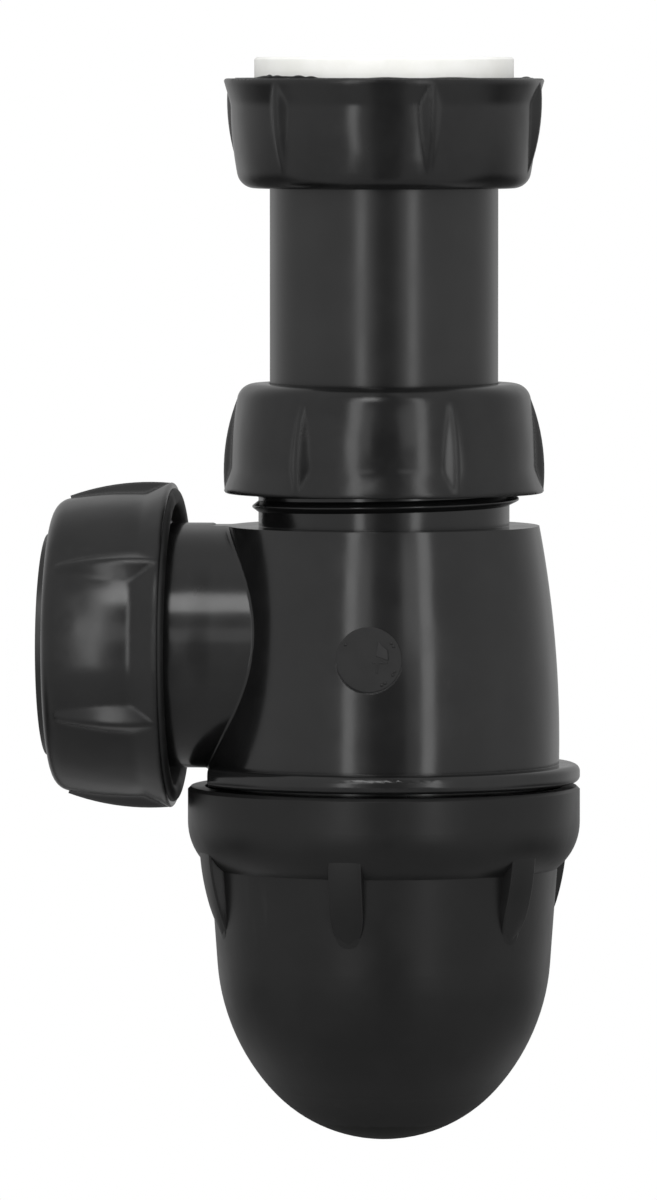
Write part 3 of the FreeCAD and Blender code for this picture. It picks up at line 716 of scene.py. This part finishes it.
@dataclass(frozen=True)
class ThreadPair:
    """A male ridge on the trap body and the female ridge that runs between its turns."""

    pitch: float
    shaft_radius: float
    crest_radius: float
    bore_radius: float
    inner_radius: float
    crest_width: float
    inner_width: float
    male_turns: Span
    female_turns: Span

    def build(self, wardrobe: Wardrobe, name: str, body: Body, slot: Slot, foot: Vector, axis: Vector,
              zero: Vector) -> None:
        """Build and dress both ridges, the female one half a pitch away from the male one.

        Args:
            wardrobe: The materials.
            name: Start of the names of the two pieces.
            body: The body that carries the female ridge.
            slot: The slot of the female ridge.
            foot: Middle of the male ridge's axis at turn 0.
            axis: Direction of the threads.
            zero: Direction of turn 0 round the axis.
        """
        male = ScrewThread(
            name=name + "_male_thread", side=Side.SHAFT, foot=foot, axis=axis, zero=zero, pitch=self.pitch,
            turns=self.male_turns, root_radius=self.shaft_radius, crest_radius=self.crest_radius,
            crest_width=self.crest_width)
        female = ScrewThread(
            name=name + "_female_thread", side=Side.BORE, foot=foot + axis * (self.pitch / 2.0), axis=axis,
            zero=zero, pitch=self.pitch, turns=self.female_turns, root_radius=self.bore_radius,
            crest_radius=self.inner_radius, crest_width=self.inner_width)
        wardrobe.add_piece(male.build(), Body.TRAP, Slot.BLACK_BODY)
        wardrobe.add_piece(female.build(), body, slot)


@dataclass(frozen=True)
class Burr:
    """One ragged bit of flash: where it stands, how high and how long it is."""

    turn: float
    height: float
    half_length: float

    def rise(self, angle: float) -> float:
        """Return the height that the burr adds at an angle."""
        away = math.remainder(angle - self.turn, FULL_TURN) / self.half_length
        return self.height * max(0.0, 1.0 - away * away) ** 2


@dataclass
class RimFlash:
    """The thin ragged lip of flash on the rim of the inlet nut."""

    radius: float = 22.9 * MM
    foot_width: float = 0.7 * MM
    crest_width: float = 0.22 * MM
    lip: float = 0.10 * MM
    sink: float = 0.05 * MM
    steps: int = 720
    sharp_angle: float = math.radians(60.0)
    burrs: tuple[Burr, ...] = (
        Burr(math.radians(-128.0), 0.28 * MM, math.radians(21.0)),
        Burr(math.radians(-138.0), 0.16 * MM, math.radians(7.0)),
        Burr(math.radians(-135.0), 0.18 * MM, math.radians(1.6)),
        Burr(math.radians(-130.5), 0.14 * MM, math.radians(2.4)),
        Burr(math.radians(-119.5), 0.22 * MM, math.radians(3.4)),
        Burr(math.radians(-114.0), 0.20 * MM, math.radians(3.0)),
        Burr(math.radians(-84.0), 0.12 * MM, math.radians(9.0)),
        Burr(math.radians(-58.0), 0.12 * MM, math.radians(12.0)),
        Burr(math.radians(20.0), 0.18 * MM, math.radians(7.0)),
        Burr(math.radians(96.0), 0.22 * MM, math.radians(5.0)),
    )

    def build(self, wardrobe: Wardrobe, level: float) -> None:
        """Build the lip and dress it.

        Args:
            wardrobe: The materials.
            level: Height of the rim.
        """
        def fill(work: BMesh) -> None:
            """Fill a mesh with the lip."""
            rings = [self._section(FULL_TURN * step / self.steps, level) for step in range(self.steps)]
            join_rings(work, rings, closed=True)

        piece = make_piece("inlet_nut_rim_flash", fill, self.sharp_angle)
        wardrobe.add_piece(piece, Body.INLET_NUT, Slot.BLACK_NUT)

    def _section(self, angle: float, level: float) -> list[Vector]:
        """Work out the lip's section at an angle.

        Args:
            angle: Direction round the nut.
            level: Height of the rim.

        Returns:
            The section's corners.
        """
        height = self.lip + sum(burr.rise(angle) for burr in self.burrs)
        spoke = Vector((math.cos(angle), math.sin(angle), 0.0))
        half_foot, half_crest = self.foot_width / 2.0, self.crest_width / 2.0
        across = ((half_foot, -self.sink), (half_crest, height), (-half_crest, height), (-half_foot, -self.sink))
        return [spoke * (self.radius + out) + Vector((0.0, 0.0, level + up)) for out, up in across]


@dataclass
class InletEnd:
    """The washer, the captive nut with its thread and rim flash, and the telescopic tube."""

    flash: RimFlash

    bore_radius: float = PIPE_BORE_RADIUS
    inner_radius: float = 19.75 * MM
    pitch: float = PIPE_PITCH
    mouth_margin: float = 3.4 * MM
    floor_margin: float = 4.2 * MM
    crest_width: float = 0.45 * MM

    def build(self, wardrobe: Wardrobe) -> None:
        """Dress the nodes and add the thread and the flash of the nut.

        Args:
            wardrobe: The materials.
        """
        wardrobe.dress_node(Node.INLET_WASHER, Slot.WHITE_WASHER)
        wardrobe.dress_node(Node.INLET_NUT, Slot.BLACK_NUT)
        wardrobe.dress_node(Node.INLET_TUBE, Slot.BLACK_TUBE)
        low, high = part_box(Node.INLET_NUT.value)
        foot = Vector((0.0, 0.0, low.z + self.floor_margin))
        turns = (high.z - low.z - self.floor_margin - self.mouth_margin) / self.pitch
        thread = ScrewThread(
            name="inlet_nut_thread", side=Side.BORE, foot=foot, axis=UP, zero=ACROSS, pitch=self.pitch,
            turns=(0.0, turns), root_radius=self.bore_radius, crest_radius=self.inner_radius,
            crest_width=self.crest_width)
        wardrobe.add_piece(thread.build(), Body.INLET_NUT, Slot.BLACK_NUT)
        self.flash.build(wardrobe, high.z)


@dataclass
class NeckJoint:
    """The compression joint between the inlet tube and the neck."""

    crest_drop_right: float = 68.45 * MM
    threads: ThreadPair = ThreadPair(
        pitch=PIPE_PITCH, shaft_radius=19.475 * MM, crest_radius=PIPE_CREST_RADIUS, bore_radius=PIPE_BORE_RADIUS,
        inner_radius=19.97 * MM, crest_width=0.35 * MM, inner_width=0.40 * MM, male_turns=(-0.66, 3.85),
        female_turns=(0.35, 4.9))

    def build(self, wardrobe: Wardrobe) -> None:
        """Dress the nodes and add the pair of threads.

        Args:
            wardrobe: The materials.
        """
        wardrobe.dress_node(Node.NECK_SLIP_RING, Slot.PALE_RING)
        wardrobe.dress_node(Node.NECK_SEAL, Slot.BLACK_RUBBER)
        wardrobe.dress_node(Node.NECK_NUT, Slot.BLACK_NUT)
        foot = Vector((0.0, 0.0, -self.crest_drop_right))
        self.threads.build(wardrobe, "neck", Body.NECK_NUT, Slot.BLACK_NUT, foot, UP, ACROSS)


@dataclass
class RimLip:
    """The half-round lip on the open end of the outlet nut, with its short dull inside."""

    radius: float = 23.07 * MM
    half_width: float = 1.30 * MM
    proud: float = 0.80 * MM
    sink: float = 0.08 * MM
    inside_depth: float = 2.60 * MM
    inside_wall: float = 0.30 * MM
    steps: int = 240
    section_steps: int = 12
    sharp_angle: float = math.radians(60.0)

    def build(self, wardrobe: Wardrobe, reach: float, axis_level: float) -> None:
        """Build the lip and dress it.

        Args:
            wardrobe: The materials.
            reach: Place of the nut's open end along X.
            axis_level: Height of the outlet's axis.
        """
        middle = Vector((reach, 0.0, axis_level))

        def fill(work: BMesh) -> None:
            """Fill a mesh with the lip."""
            rings = [self._section(FULL_TURN * step / self.steps, middle) for step in range(self.steps)]
            join_rings(work, rings, closed=True)

        piece = make_piece("outlet_nut_rim_lip", fill, self.sharp_angle)
        wardrobe.add_piece(piece, Body.OUTLET_NUT, Slot.BLACK_NUT, wardrobe.dull_rim)

    def _section(self, angle: float, middle: Vector) -> list[Vector]:
        """Work out the lip's section at an angle.

        Args:
            angle: Direction round the outlet's axis.
            middle: Middle of the nut's open end.

        Returns:
            The section's corners.
        """
        spoke = Vector((0.0, math.sin(angle), math.cos(angle)))
        corners = [(self.half_width, -self.sink)]
        for step in range(self.section_steps + 1):
            swing = math.pi * step / self.section_steps
            corners.append((self.half_width * math.cos(swing), self.proud * math.sin(swing)))
        corners.append((-self.half_width, -self.inside_depth))
        corners.append((self.inside_wall - self.half_width, -self.inside_depth))
        corners.append((self.inside_wall - self.half_width, -self.sink))
        return [middle + spoke * (self.radius + out) + Vector((up, 0.0, 0.0)) for out, up in corners]


@dataclass
class OutletJoint:
    """The compression joint of the outlet, with the lip of its nut."""

    lip: RimLip

    first_crest_reach: float = 34.2 * MM
    threads: ThreadPair = ThreadPair(
        pitch=PIPE_PITCH, shaft_radius=19.05 * MM, crest_radius=PIPE_CREST_RADIUS, bore_radius=PIPE_BORE_RADIUS,
        inner_radius=19.4 * MM, crest_width=0.30 * MM, inner_width=0.22 * MM, male_turns=(-0.3, 3.6),
        female_turns=(0.1, 5.2))

    def build(self, wardrobe: Wardrobe) -> None:
        """Dress the nodes and add the lip and the pair of threads.

        Args:
            wardrobe: The materials.
        """
        wardrobe.dress_node(Node.OUTLET_NUT, Slot.BLACK_NUT)
        wardrobe.dress_node(Node.OUTLET_SLIP_RING, Slot.PALE_RING)
        wardrobe.dress_node(Node.OUTLET_SEAL, Slot.BLACK_RUBBER)
        open_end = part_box(Node.OUTLET_NUT.value)[1].x
        seal_low, seal_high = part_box(Node.OUTLET_SEAL.value)
        axis_level = (seal_low.z + seal_high.z) / 2.0
        self.lip.build(wardrobe, open_end, axis_level)
        foot = Vector((-self.first_crest_reach, 0.0, axis_level))
        self.threads.build(wardrobe, "outlet", Body.OUTLET_NUT, Slot.BLACK_NUT, foot, -ACROSS, UP)


@dataclass
class RibFins:
    """The bowed, crisp-edged fins that the cup's ribs carry."""

    count: int = 6
    first_turn: float = math.radians(23.0)
    half_width: float = 2.60 * MM
    edge_round: float = 0.32 * MM
    top_drop: float = 122.5 * MM
    tip_drop: float = 136.6 * MM
    top_radius: float = 29.35 * MM
    tip_radius: float = 25.95 * MM
    bow: float = 0.62 * MM
    crown: float = 0.12 * MM
    tip_crown: float = 0.32 * MM
    crown_power: int = 3
    root_radius: float = 24.8 * MM
    overlap: float = 0.05
    taper_start: float = 0.55
    taper_power: float = 2.3
    least_width: float = 0.42 * MM
    steps: int = 44
    edge_steps: int = 5
    crown_steps: int = 8
    sharp_angle: float = math.radians(40.0)

    def build(self, wardrobe: Wardrobe) -> None:
        """Build the fins and dress them.

        Args:
            wardrobe: The materials.
        """
        piece = make_piece("cup_rib_fins", self._fill, self.sharp_angle)
        wardrobe.add_piece(piece, Body.CUP, Slot.BLACK_CUP)

    def _fill(self, work: BMesh) -> None:
        """Fill a mesh with all fins.

        Args:
            work: The mesh.
        """
        span = 1.0 + 2.0 * self.overlap
        for index in range(self.count):
            turn = self.first_turn + FULL_TURN * index / self.count
            shares = [span * step / self.steps - self.overlap for step in range(self.steps + 1)]
            join_rings(work, [self._ring(turn, share) for share in shares], closed=False)

    def _ring(self, turn: float, share: float) -> list[Vector]:
        """Work out a fin's level section.

        Args:
            turn: Direction of the fin round the cup.
            share: Way down the fin, 0 at its top and 1 at its tip.

        Returns:
            The section's corners.
        """
        spoke = Vector((math.cos(turn), math.sin(turn), 0.0))
        side = Vector((-spoke.y, spoke.x, 0.0))
        down = Vector((0.0, 0.0, -self.top_drop - (self.tip_drop - self.top_drop) * share))
        crest = self.top_radius + (self.tip_radius - self.top_radius) * share + 4.0 * self.bow * share * (1.0 - share)
        sag = self.crown + self.tip_crown * max(0.0, share) ** self.crown_power
        taper = min(1.0, max(0.0, (share - self.taper_start) / (1.0 - self.taper_start))) ** self.taper_power
        half = max(self.least_width, self.half_width * math.sqrt(1.0 - taper))
        flat = half - self.edge_round
        shoulder = crest - sag - self.edge_round
        edge = []
        for step in range(self.edge_steps + 1):
            swing = 0.5 * math.pi * step / self.edge_steps
            edge.append((flat + self.edge_round * math.cos(swing), shoulder + self.edge_round * math.sin(swing)))
        top = []
        for step in range(1, self.crown_steps):
            across = flat * (1.0 - 2.0 * step / self.crown_steps)
            top.append((across, crest - sag * (across / flat) ** 2))
        far_edge = [(-across, reach) for across, reach in reversed(edge)]
        corners = [(half, self.root_radius), *edge, *top, *far_edge, (-half, self.root_radius)]
        return [spoke * reach + side * across + down for across, reach in corners]


@dataclass
class CupJoint:
    """The screwed joint between the spigot and the cleaning cup, with the cup's rib fins."""

    fins: RibFins

    first_crest_drop: float = 114.6 * MM
    threads: ThreadPair = ThreadPair(
        pitch=3.0 * MM, shaft_radius=26.15 * MM, crest_radius=27.45 * MM, bore_radius=27.80 * MM,
        inner_radius=26.50 * MM, crest_width=0.55 * MM, inner_width=0.55 * MM, male_turns=(-0.1, 1.45),
        female_turns=(-0.45, 1.6))

    def build(self, wardrobe: Wardrobe) -> None:
        """Dress the nodes and add the fins and the pair of threads.

        Args:
            wardrobe: The materials.
        """
        wardrobe.dress_node(Node.CUP_SEAL, Slot.BLACK_RUBBER)
        wardrobe.dress_node(Node.TRAP_CUP, Slot.BLACK_CUP)
        self.fins.build(wardrobe)
        foot = Vector((0.0, 0.0, -self.first_crest_drop))
        self.threads.build(wardrobe, "cup", Body.CUP, Slot.BLACK_CUP, foot, -UP, ACROSS)


@dataclass
class MouldMark:
    """The dial that a dated mould insert leaves: dots and a pointer, with no writing."""

    face_reach: float = 26.29 * MM
    level_drop: float = 92.0 * MM
    face_radius: float = 5.05 * MM
    face_skin: float = 0.03 * MM
    dot_circle: float = 4.3 * MM
    dot_radius: float = 0.26 * MM
    dot_profile: tuple[Span, ...] = ((1.0, 0.4), (0.75, 0.85), (0.35, 1.0))
    dot_turns: tuple[float, ...] = (-57.0, 53.0, 61.0, 114.0, 122.0, 145.0, 153.0)
    proud: float = 0.16 * MM
    sink: float = 0.12 * MM
    bar_rise: float = 0.09 * MM
    head: tuple[Point, ...] = ((1.44, 2.85, 0.06), (2.88, 1.47, 0.20), (2.98, -0.06, 0.20), (1.04, 0.55, 0.06))
    stem: Rectangle = (1.08, -2.1, 1.38, -0.6)
    bar: Rectangle = (0.5, -0.6, 2.9, -0.35)
    ring_steps: int = 48
    dot_steps: int = 12
    sharp_angle: float = math.radians(40.0)

    def build(self, wardrobe: Wardrobe) -> None:
        """Build the dial and dress it.

        Args:
            wardrobe: The materials.
        """
        for name, fill in (("mould_mark_face", self._fill_face), ("mould_mark_dial", self._fill_dial)):
            piece = make_piece(name, fill, self.sharp_angle)
            wardrobe.add_piece(piece, Body.TRAP, Slot.BLACK_BODY, wardrobe.matt_mark)

    def _point(self, across: float, along: float, rise: float) -> Vector:
        """Place a point of the dial on the flat of the mark."""
        return Vector((across, -self.face_reach - rise, along - self.level_drop))

    def _circle(self, across: float, along: float, radius: float, rise: float, steps: int) -> list[Vector]:
        """Return the points of a circle on the flat of the mark.

        Args:
            across: Middle of the circle, sideways.
            along: Middle of the circle, upwards.
            radius: The circle's radius.
            rise: Height above the flat.
            steps: Number of points.

        Returns:
            The points.
        """
        angles = [FULL_TURN * step / steps for step in range(steps)]
        return [self._point(across + math.sin(a) * radius, along + math.cos(a) * radius, rise) for a in angles]

    def _fill_face(self, work: BMesh) -> None:
        """Fill a mesh with the matt face under the dial.

        Args:
            work: The mesh.
        """
        rings = []
        for radius, rise in ((self.face_radius, -self.sink), (self.face_radius - self.face_skin, self.face_skin)):
            rings.append(self._circle(0.0, 0.0, radius, rise, self.ring_steps))
        join_rings(work, rings, closed=False)

    def _fill_dial(self, work: BMesh) -> None:
        """Fill a mesh with the dots and the pointer.

        Args:
            work: The mesh.
        """
        for turn in self.dot_turns:
            angle = math.radians(turn)
            self._add_dot(work, math.sin(angle) * self.dot_circle, math.cos(angle) * self.dot_circle)
        self._add_block(work, [Vector(corner) * MM for corner in self.head])
        for left, low, right, high in (self.stem, self.bar):
            corners = ((left, low), (left, high), (right, high), (right, low))
            self._add_block(work, [Vector((x * MM, y * MM, self.bar_rise)) for x, y in corners])

    def _add_dot(self, work: BMesh, across: float, along: float) -> None:
        """Add one domed dot.

        Args:
            work: The mesh that gets the dot.
            across: Middle of the dot, sideways.
            along: Middle of the dot, upwards.
        """
        layers = [(1.0, -self.sink), *((share, self.proud * rise) for share, rise in self.dot_profile)]
        rings = [
            self._circle(across, along, self.dot_radius * share, rise, self.dot_steps) for share, rise in layers
        ]
        join_rings(work, rings, closed=False)

    def _add_block(self, work: BMesh, corners: Sequence[Vector]) -> None:
        """Add a flat block whose corners give their own heights.

        Args:
            work: The mesh that gets the block.
            corners: Sideways, upwards and outwards place of each upper corner.
        """
        low = [self._point(corner.x, corner.y, -self.sink) for corner in corners]
        high = [self._point(*corner) for corner in corners]
        join_rings(work, [low, high], closed=False)


@dataclass
class TrapMoulding:
    """The trap body with its mould mark."""

    mark: MouldMark

    def build(self, wardrobe: Wardrobe) -> None:
        """Dress the body and add its mark.

        Args:
            wardrobe: The materials.
        """
        wardrobe.dress_node(Node.TRAP_BODY, Slot.BLACK_BODY)
        self.mark.build(wardrobe)


@dataclass(frozen=True)
class Softbox:
    """A rectangular lamp, placed round the object by angles from the camera's direction."""

    name: str
    turn: float
    rise: float
    distance: float
    width: float
    height: float
    radiance: float

    def build(self, target: Vector, front: Vector, right: Vector) -> None:
        """Make the lamp.

        Args:
            target: The point that the lamp faces.
            front: Level direction from the object to the camera.
            right: Level direction to the camera's right.
        """
        level = front * math.cos(self.turn) + right * math.sin(self.turn)
        direction = level * math.cos(self.rise) + Vector((0.0, 0.0, math.sin(self.rise)))
        data = bpy.data.lights.new(self.name, "AREA")
        data.shape = "RECTANGLE"
        data.size = self.width
        data.size_y = self.height
        data.energy = self.radiance * math.pi * self.width * self.height
        lamp = bpy.data.objects.new(self.name, data)
        lamp.location = target + direction * self.distance
        lamp.rotation_euler = (-direction).to_track_quat("-Z", "Y").to_euler()
        bpy.context.scene.collection.objects.link(lamp)


@dataclass
class Studio:
    """The floor, the lamps, the white surround and the camera."""

    image_width: int = 657
    image_height: int = 1200
    axis_column: float = 384.0
    washer_row: float = 57.0
    pixel_size: float = 0.155 * MM
    camera_turn: float = math.radians(5.0)
    camera_distance: float = 1.65
    sensor: float = 36.0
    eye_level: float = 0.0
    floor_gap: float = 0.047
    floor_radius: float = 0.25
    floor_fade: float = 0.16
    floor_steps: int = 96
    floor_sharp_angle: float = math.radians(30.0)
    floor_colour: Colour = (0.60, 0.60, 0.60)
    ambient: float = 0.80
    band_turn: float = math.radians(2.5)
    front_dark: float = 0.27
    front_fade: Span = (math.radians(17.0), math.radians(6.0))
    side_dark: float = 0.72
    side_fade: Span = (math.radians(115.0), math.radians(75.0))
    back_dark: float = 0.62
    back_fade: Span = (math.radians(170.0), math.radians(145.0))
    low_dark: float = 0.14
    low_front: float = 0.80
    low_fade: Span = (math.radians(-28.0), math.radians(-2.0))
    near_fade: Span = (math.radians(100.0), math.radians(75.0))
    lamps: tuple[Softbox, ...] = (
        Softbox(name="left_strip", turn=math.radians(-23.0), rise=math.radians(15.5), distance=1.3, width=0.19,
                height=1.47, radiance=3.7),
        Softbox(name="right_strip", turn=math.radians(29.0), rise=math.radians(15.5), distance=1.3, width=0.20,
                height=1.47, radiance=3.8),
        Softbox(name="front_top", turn=math.radians(-13.0), rise=math.radians(42.0), distance=1.3, width=0.28,
                height=0.40, radiance=6.4),
        Softbox(name="left_inner", turn=math.radians(-13.5), rise=math.radians(12.0), distance=1.35, width=0.22,
                height=0.30, radiance=1.1),
        Softbox(name="right_inner", turn=math.radians(17.5), rise=math.radians(12.0), distance=1.35, width=0.26,
                height=0.30, radiance=1.2),
    )

    def build(self) -> None:
        """Build the whole studio."""
        scene = bpy.context.scene
        scene.view_settings.view_transform = "Standard"
        front = Vector((math.sin(self.camera_turn), -math.cos(self.camera_turn), 0.0))
        right = Vector((math.cos(self.camera_turn), math.sin(self.camera_turn), 0.0))
        middle = Vector((0.0, 0.0, (CAD_BOX[0].z + CAD_BOX[1].z) / 2.0))
        for lamp in self.lamps:
            lamp.build(middle, front, right)
        self._surround(front, right)
        self._floor()
        self._camera(front, right)

    def _surround(self, front: Vector, right: Vector) -> None:
        """Make the white surround, darker in reflections round the camera, behind the trap and near the ground.

        Args:
            front: Level direction from the object to the camera.
            right: Level direction to the camera's right.
        """
        world = bpy.data.worlds.new("white_surround")
        world.use_nodes = True
        sheet = NodeSheet(world.node_tree)
        sheet.tree.nodes.clear()
        direction = sheet.add("ShaderNodeTexCoord").outputs["Generated"]
        parts = sheet.add("ShaderNodeSeparateXYZ")
        sheet.link(direction, parts.inputs[0])
        heading = sheet.vector("NORMALIZE", sheet.level(direction)).outputs[0]
        band = front * math.cos(self.band_turn) + right * math.sin(self.band_turn)
        facing = sheet.along(direction, front)
        camera_side = self._fade(sheet, sheet.along(heading, band), self.front_fade, 1.0, self.front_dark)
        far_side = self._fade(sheet, facing, self.side_fade, self.side_dark, 1.0)
        behind = self._fade(sheet, facing, self.back_fade, self.back_dark, 1.0)
        nearness = self._fade(sheet, facing, self.near_fade, 0.0, 1.0)
        lowest, level = (math.sin(angle) for angle in self.low_fade)
        far_low, near_low = (
            sheet.spread(parts.outputs["Z"], lowest, level, dark, 1.0) for dark in (self.low_dark, self.low_front))
        mirrored = sheet.math("MINIMUM", sheet.blend(nearness, far_low, near_low), camera_side)
        for share in (far_side, behind):
            mirrored = sheet.math("MULTIPLY", mirrored, share)
        path = sheet.add("ShaderNodeLightPath")
        seen = sheet.math("MAXIMUM", path.outputs["Is Glossy Ray"], path.outputs["Is Transmission Ray"])
        shaded = sheet.blend(seen, self.ambient, mirrored)
        strength = sheet.blend(path.outputs["Is Camera Ray"], shaded, 1.0)
        background = sheet.add("ShaderNodeBackground")
        background.inputs["Color"].default_value = (1.0, 1.0, 1.0, 1.0)
        sheet.link(strength, background.inputs["Strength"])
        output = sheet.add("ShaderNodeOutputWorld")
        sheet.link(background.outputs[0], output.inputs["Surface"])
        bpy.context.scene.world = world

    @staticmethod
    def _fade(sheet: NodeSheet, share: Socket, angles: Span, first: float, second: float) -> Socket:
        """Fade between two levels by the angle from a direction.

        Args:
            sheet: The nodes.
            share: Cosine of the angle.
            angles: Start and end of the fade.
            first: Level up to the start.
            second: Level from the end on.

        Returns:
            The level's socket.
        """
        start, end = (math.cos(angle) for angle in angles)
        return sheet.spread(share, start, end, first, second)

    def _floor(self) -> None:
        """Make the pale round floor that fades into the surround."""
        level = CAD_BOX[0].z - self.floor_gap
        angles = [FULL_TURN * step / self.floor_steps for step in range(self.floor_steps)]

        def fill(work: BMesh) -> None:
            """Fill a mesh with the floor's disc."""
            rim = [(math.cos(a) * self.floor_radius, math.sin(a) * self.floor_radius, level) for a in angles]
            work.faces.new([work.verts.new(point) for point in rim])

        floor = make_piece("studio_floor", fill, self.floor_sharp_angle)
        floor.data.materials.append(self._floor_material())

    def _floor_material(self) -> bpy.types.Material:
        """Make the floor's material, clear towards its rim.

        Returns:
            The material.
        """
        material = bpy.data.materials.new("pale_floor")
        material.use_nodes = True
        sheet = NodeSheet(material.node_tree)
        sheet.tree.nodes.clear()
        place = sheet.add("ShaderNodeTexCoord").outputs["Object"]
        inner = self.floor_radius - self.floor_fade
        clear = sheet.spread(sheet.reach(place), inner, self.floor_radius, 0.0, 1.0)
        matt = sheet.add("ShaderNodeBsdfDiffuse")
        matt.inputs["Color"].default_value = (*self.floor_colour, 1.0)
        open_air = sheet.add("ShaderNodeBsdfTransparent")
        mix = sheet.add("ShaderNodeMixShader")
        sheet.link(clear, mix.inputs[0])
        sheet.link(matt.outputs[0], mix.inputs[1])
        sheet.link(open_air.outputs[0], mix.inputs[2])
        output = sheet.add("ShaderNodeOutputMaterial")
        sheet.link(mix.outputs[0], output.inputs["Surface"])
        return material

    def _camera(self, front: Vector, right: Vector) -> None:
        """Make the camera at the photograph's angle.

        Args:
            front: Level direction from the object to the camera.
            right: Level direction to the camera's right.
        """
        across = (self.image_width / 2.0 - self.axis_column) * self.pixel_size
        down = (self.image_height / 2.0 - self.washer_row) * self.pixel_size
        aim = right * across - Vector((0.0, 0.0, down))
        data = bpy.data.cameras.new("photo_camera")
        data.sensor_fit = "AUTO"
        data.sensor_width = self.sensor
        data.lens = self.camera_distance / self.pixel_size * self.sensor / self.image_height
        camera = bpy.data.objects.new("photo_camera", data)
        camera.location = front * self.camera_distance + Vector((0.0, 0.0, self.eye_level))
        camera.rotation_euler = (aim - camera.location).to_track_quat("-Z", "Y").to_euler()
        bpy.context.scene.collection.objects.link(camera)
        bpy.context.scene.camera = camera


def main() -> None:
    """Build the sub-assemblies and the studio in order."""
    logging.basicConfig(level=logging.INFO, format="%(name)s: %(message)s")
    wardrobe = Wardrobe()
    assemblies = (
        InletEnd(RimFlash()), NeckJoint(), TrapMoulding(MouldMark()), OutletJoint(RimLip()), CupJoint(RibFins()))
    for assembly in assemblies:
        assembly.build(wardrobe)
    Studio().build()


if __name__ == "__main__":
    main()
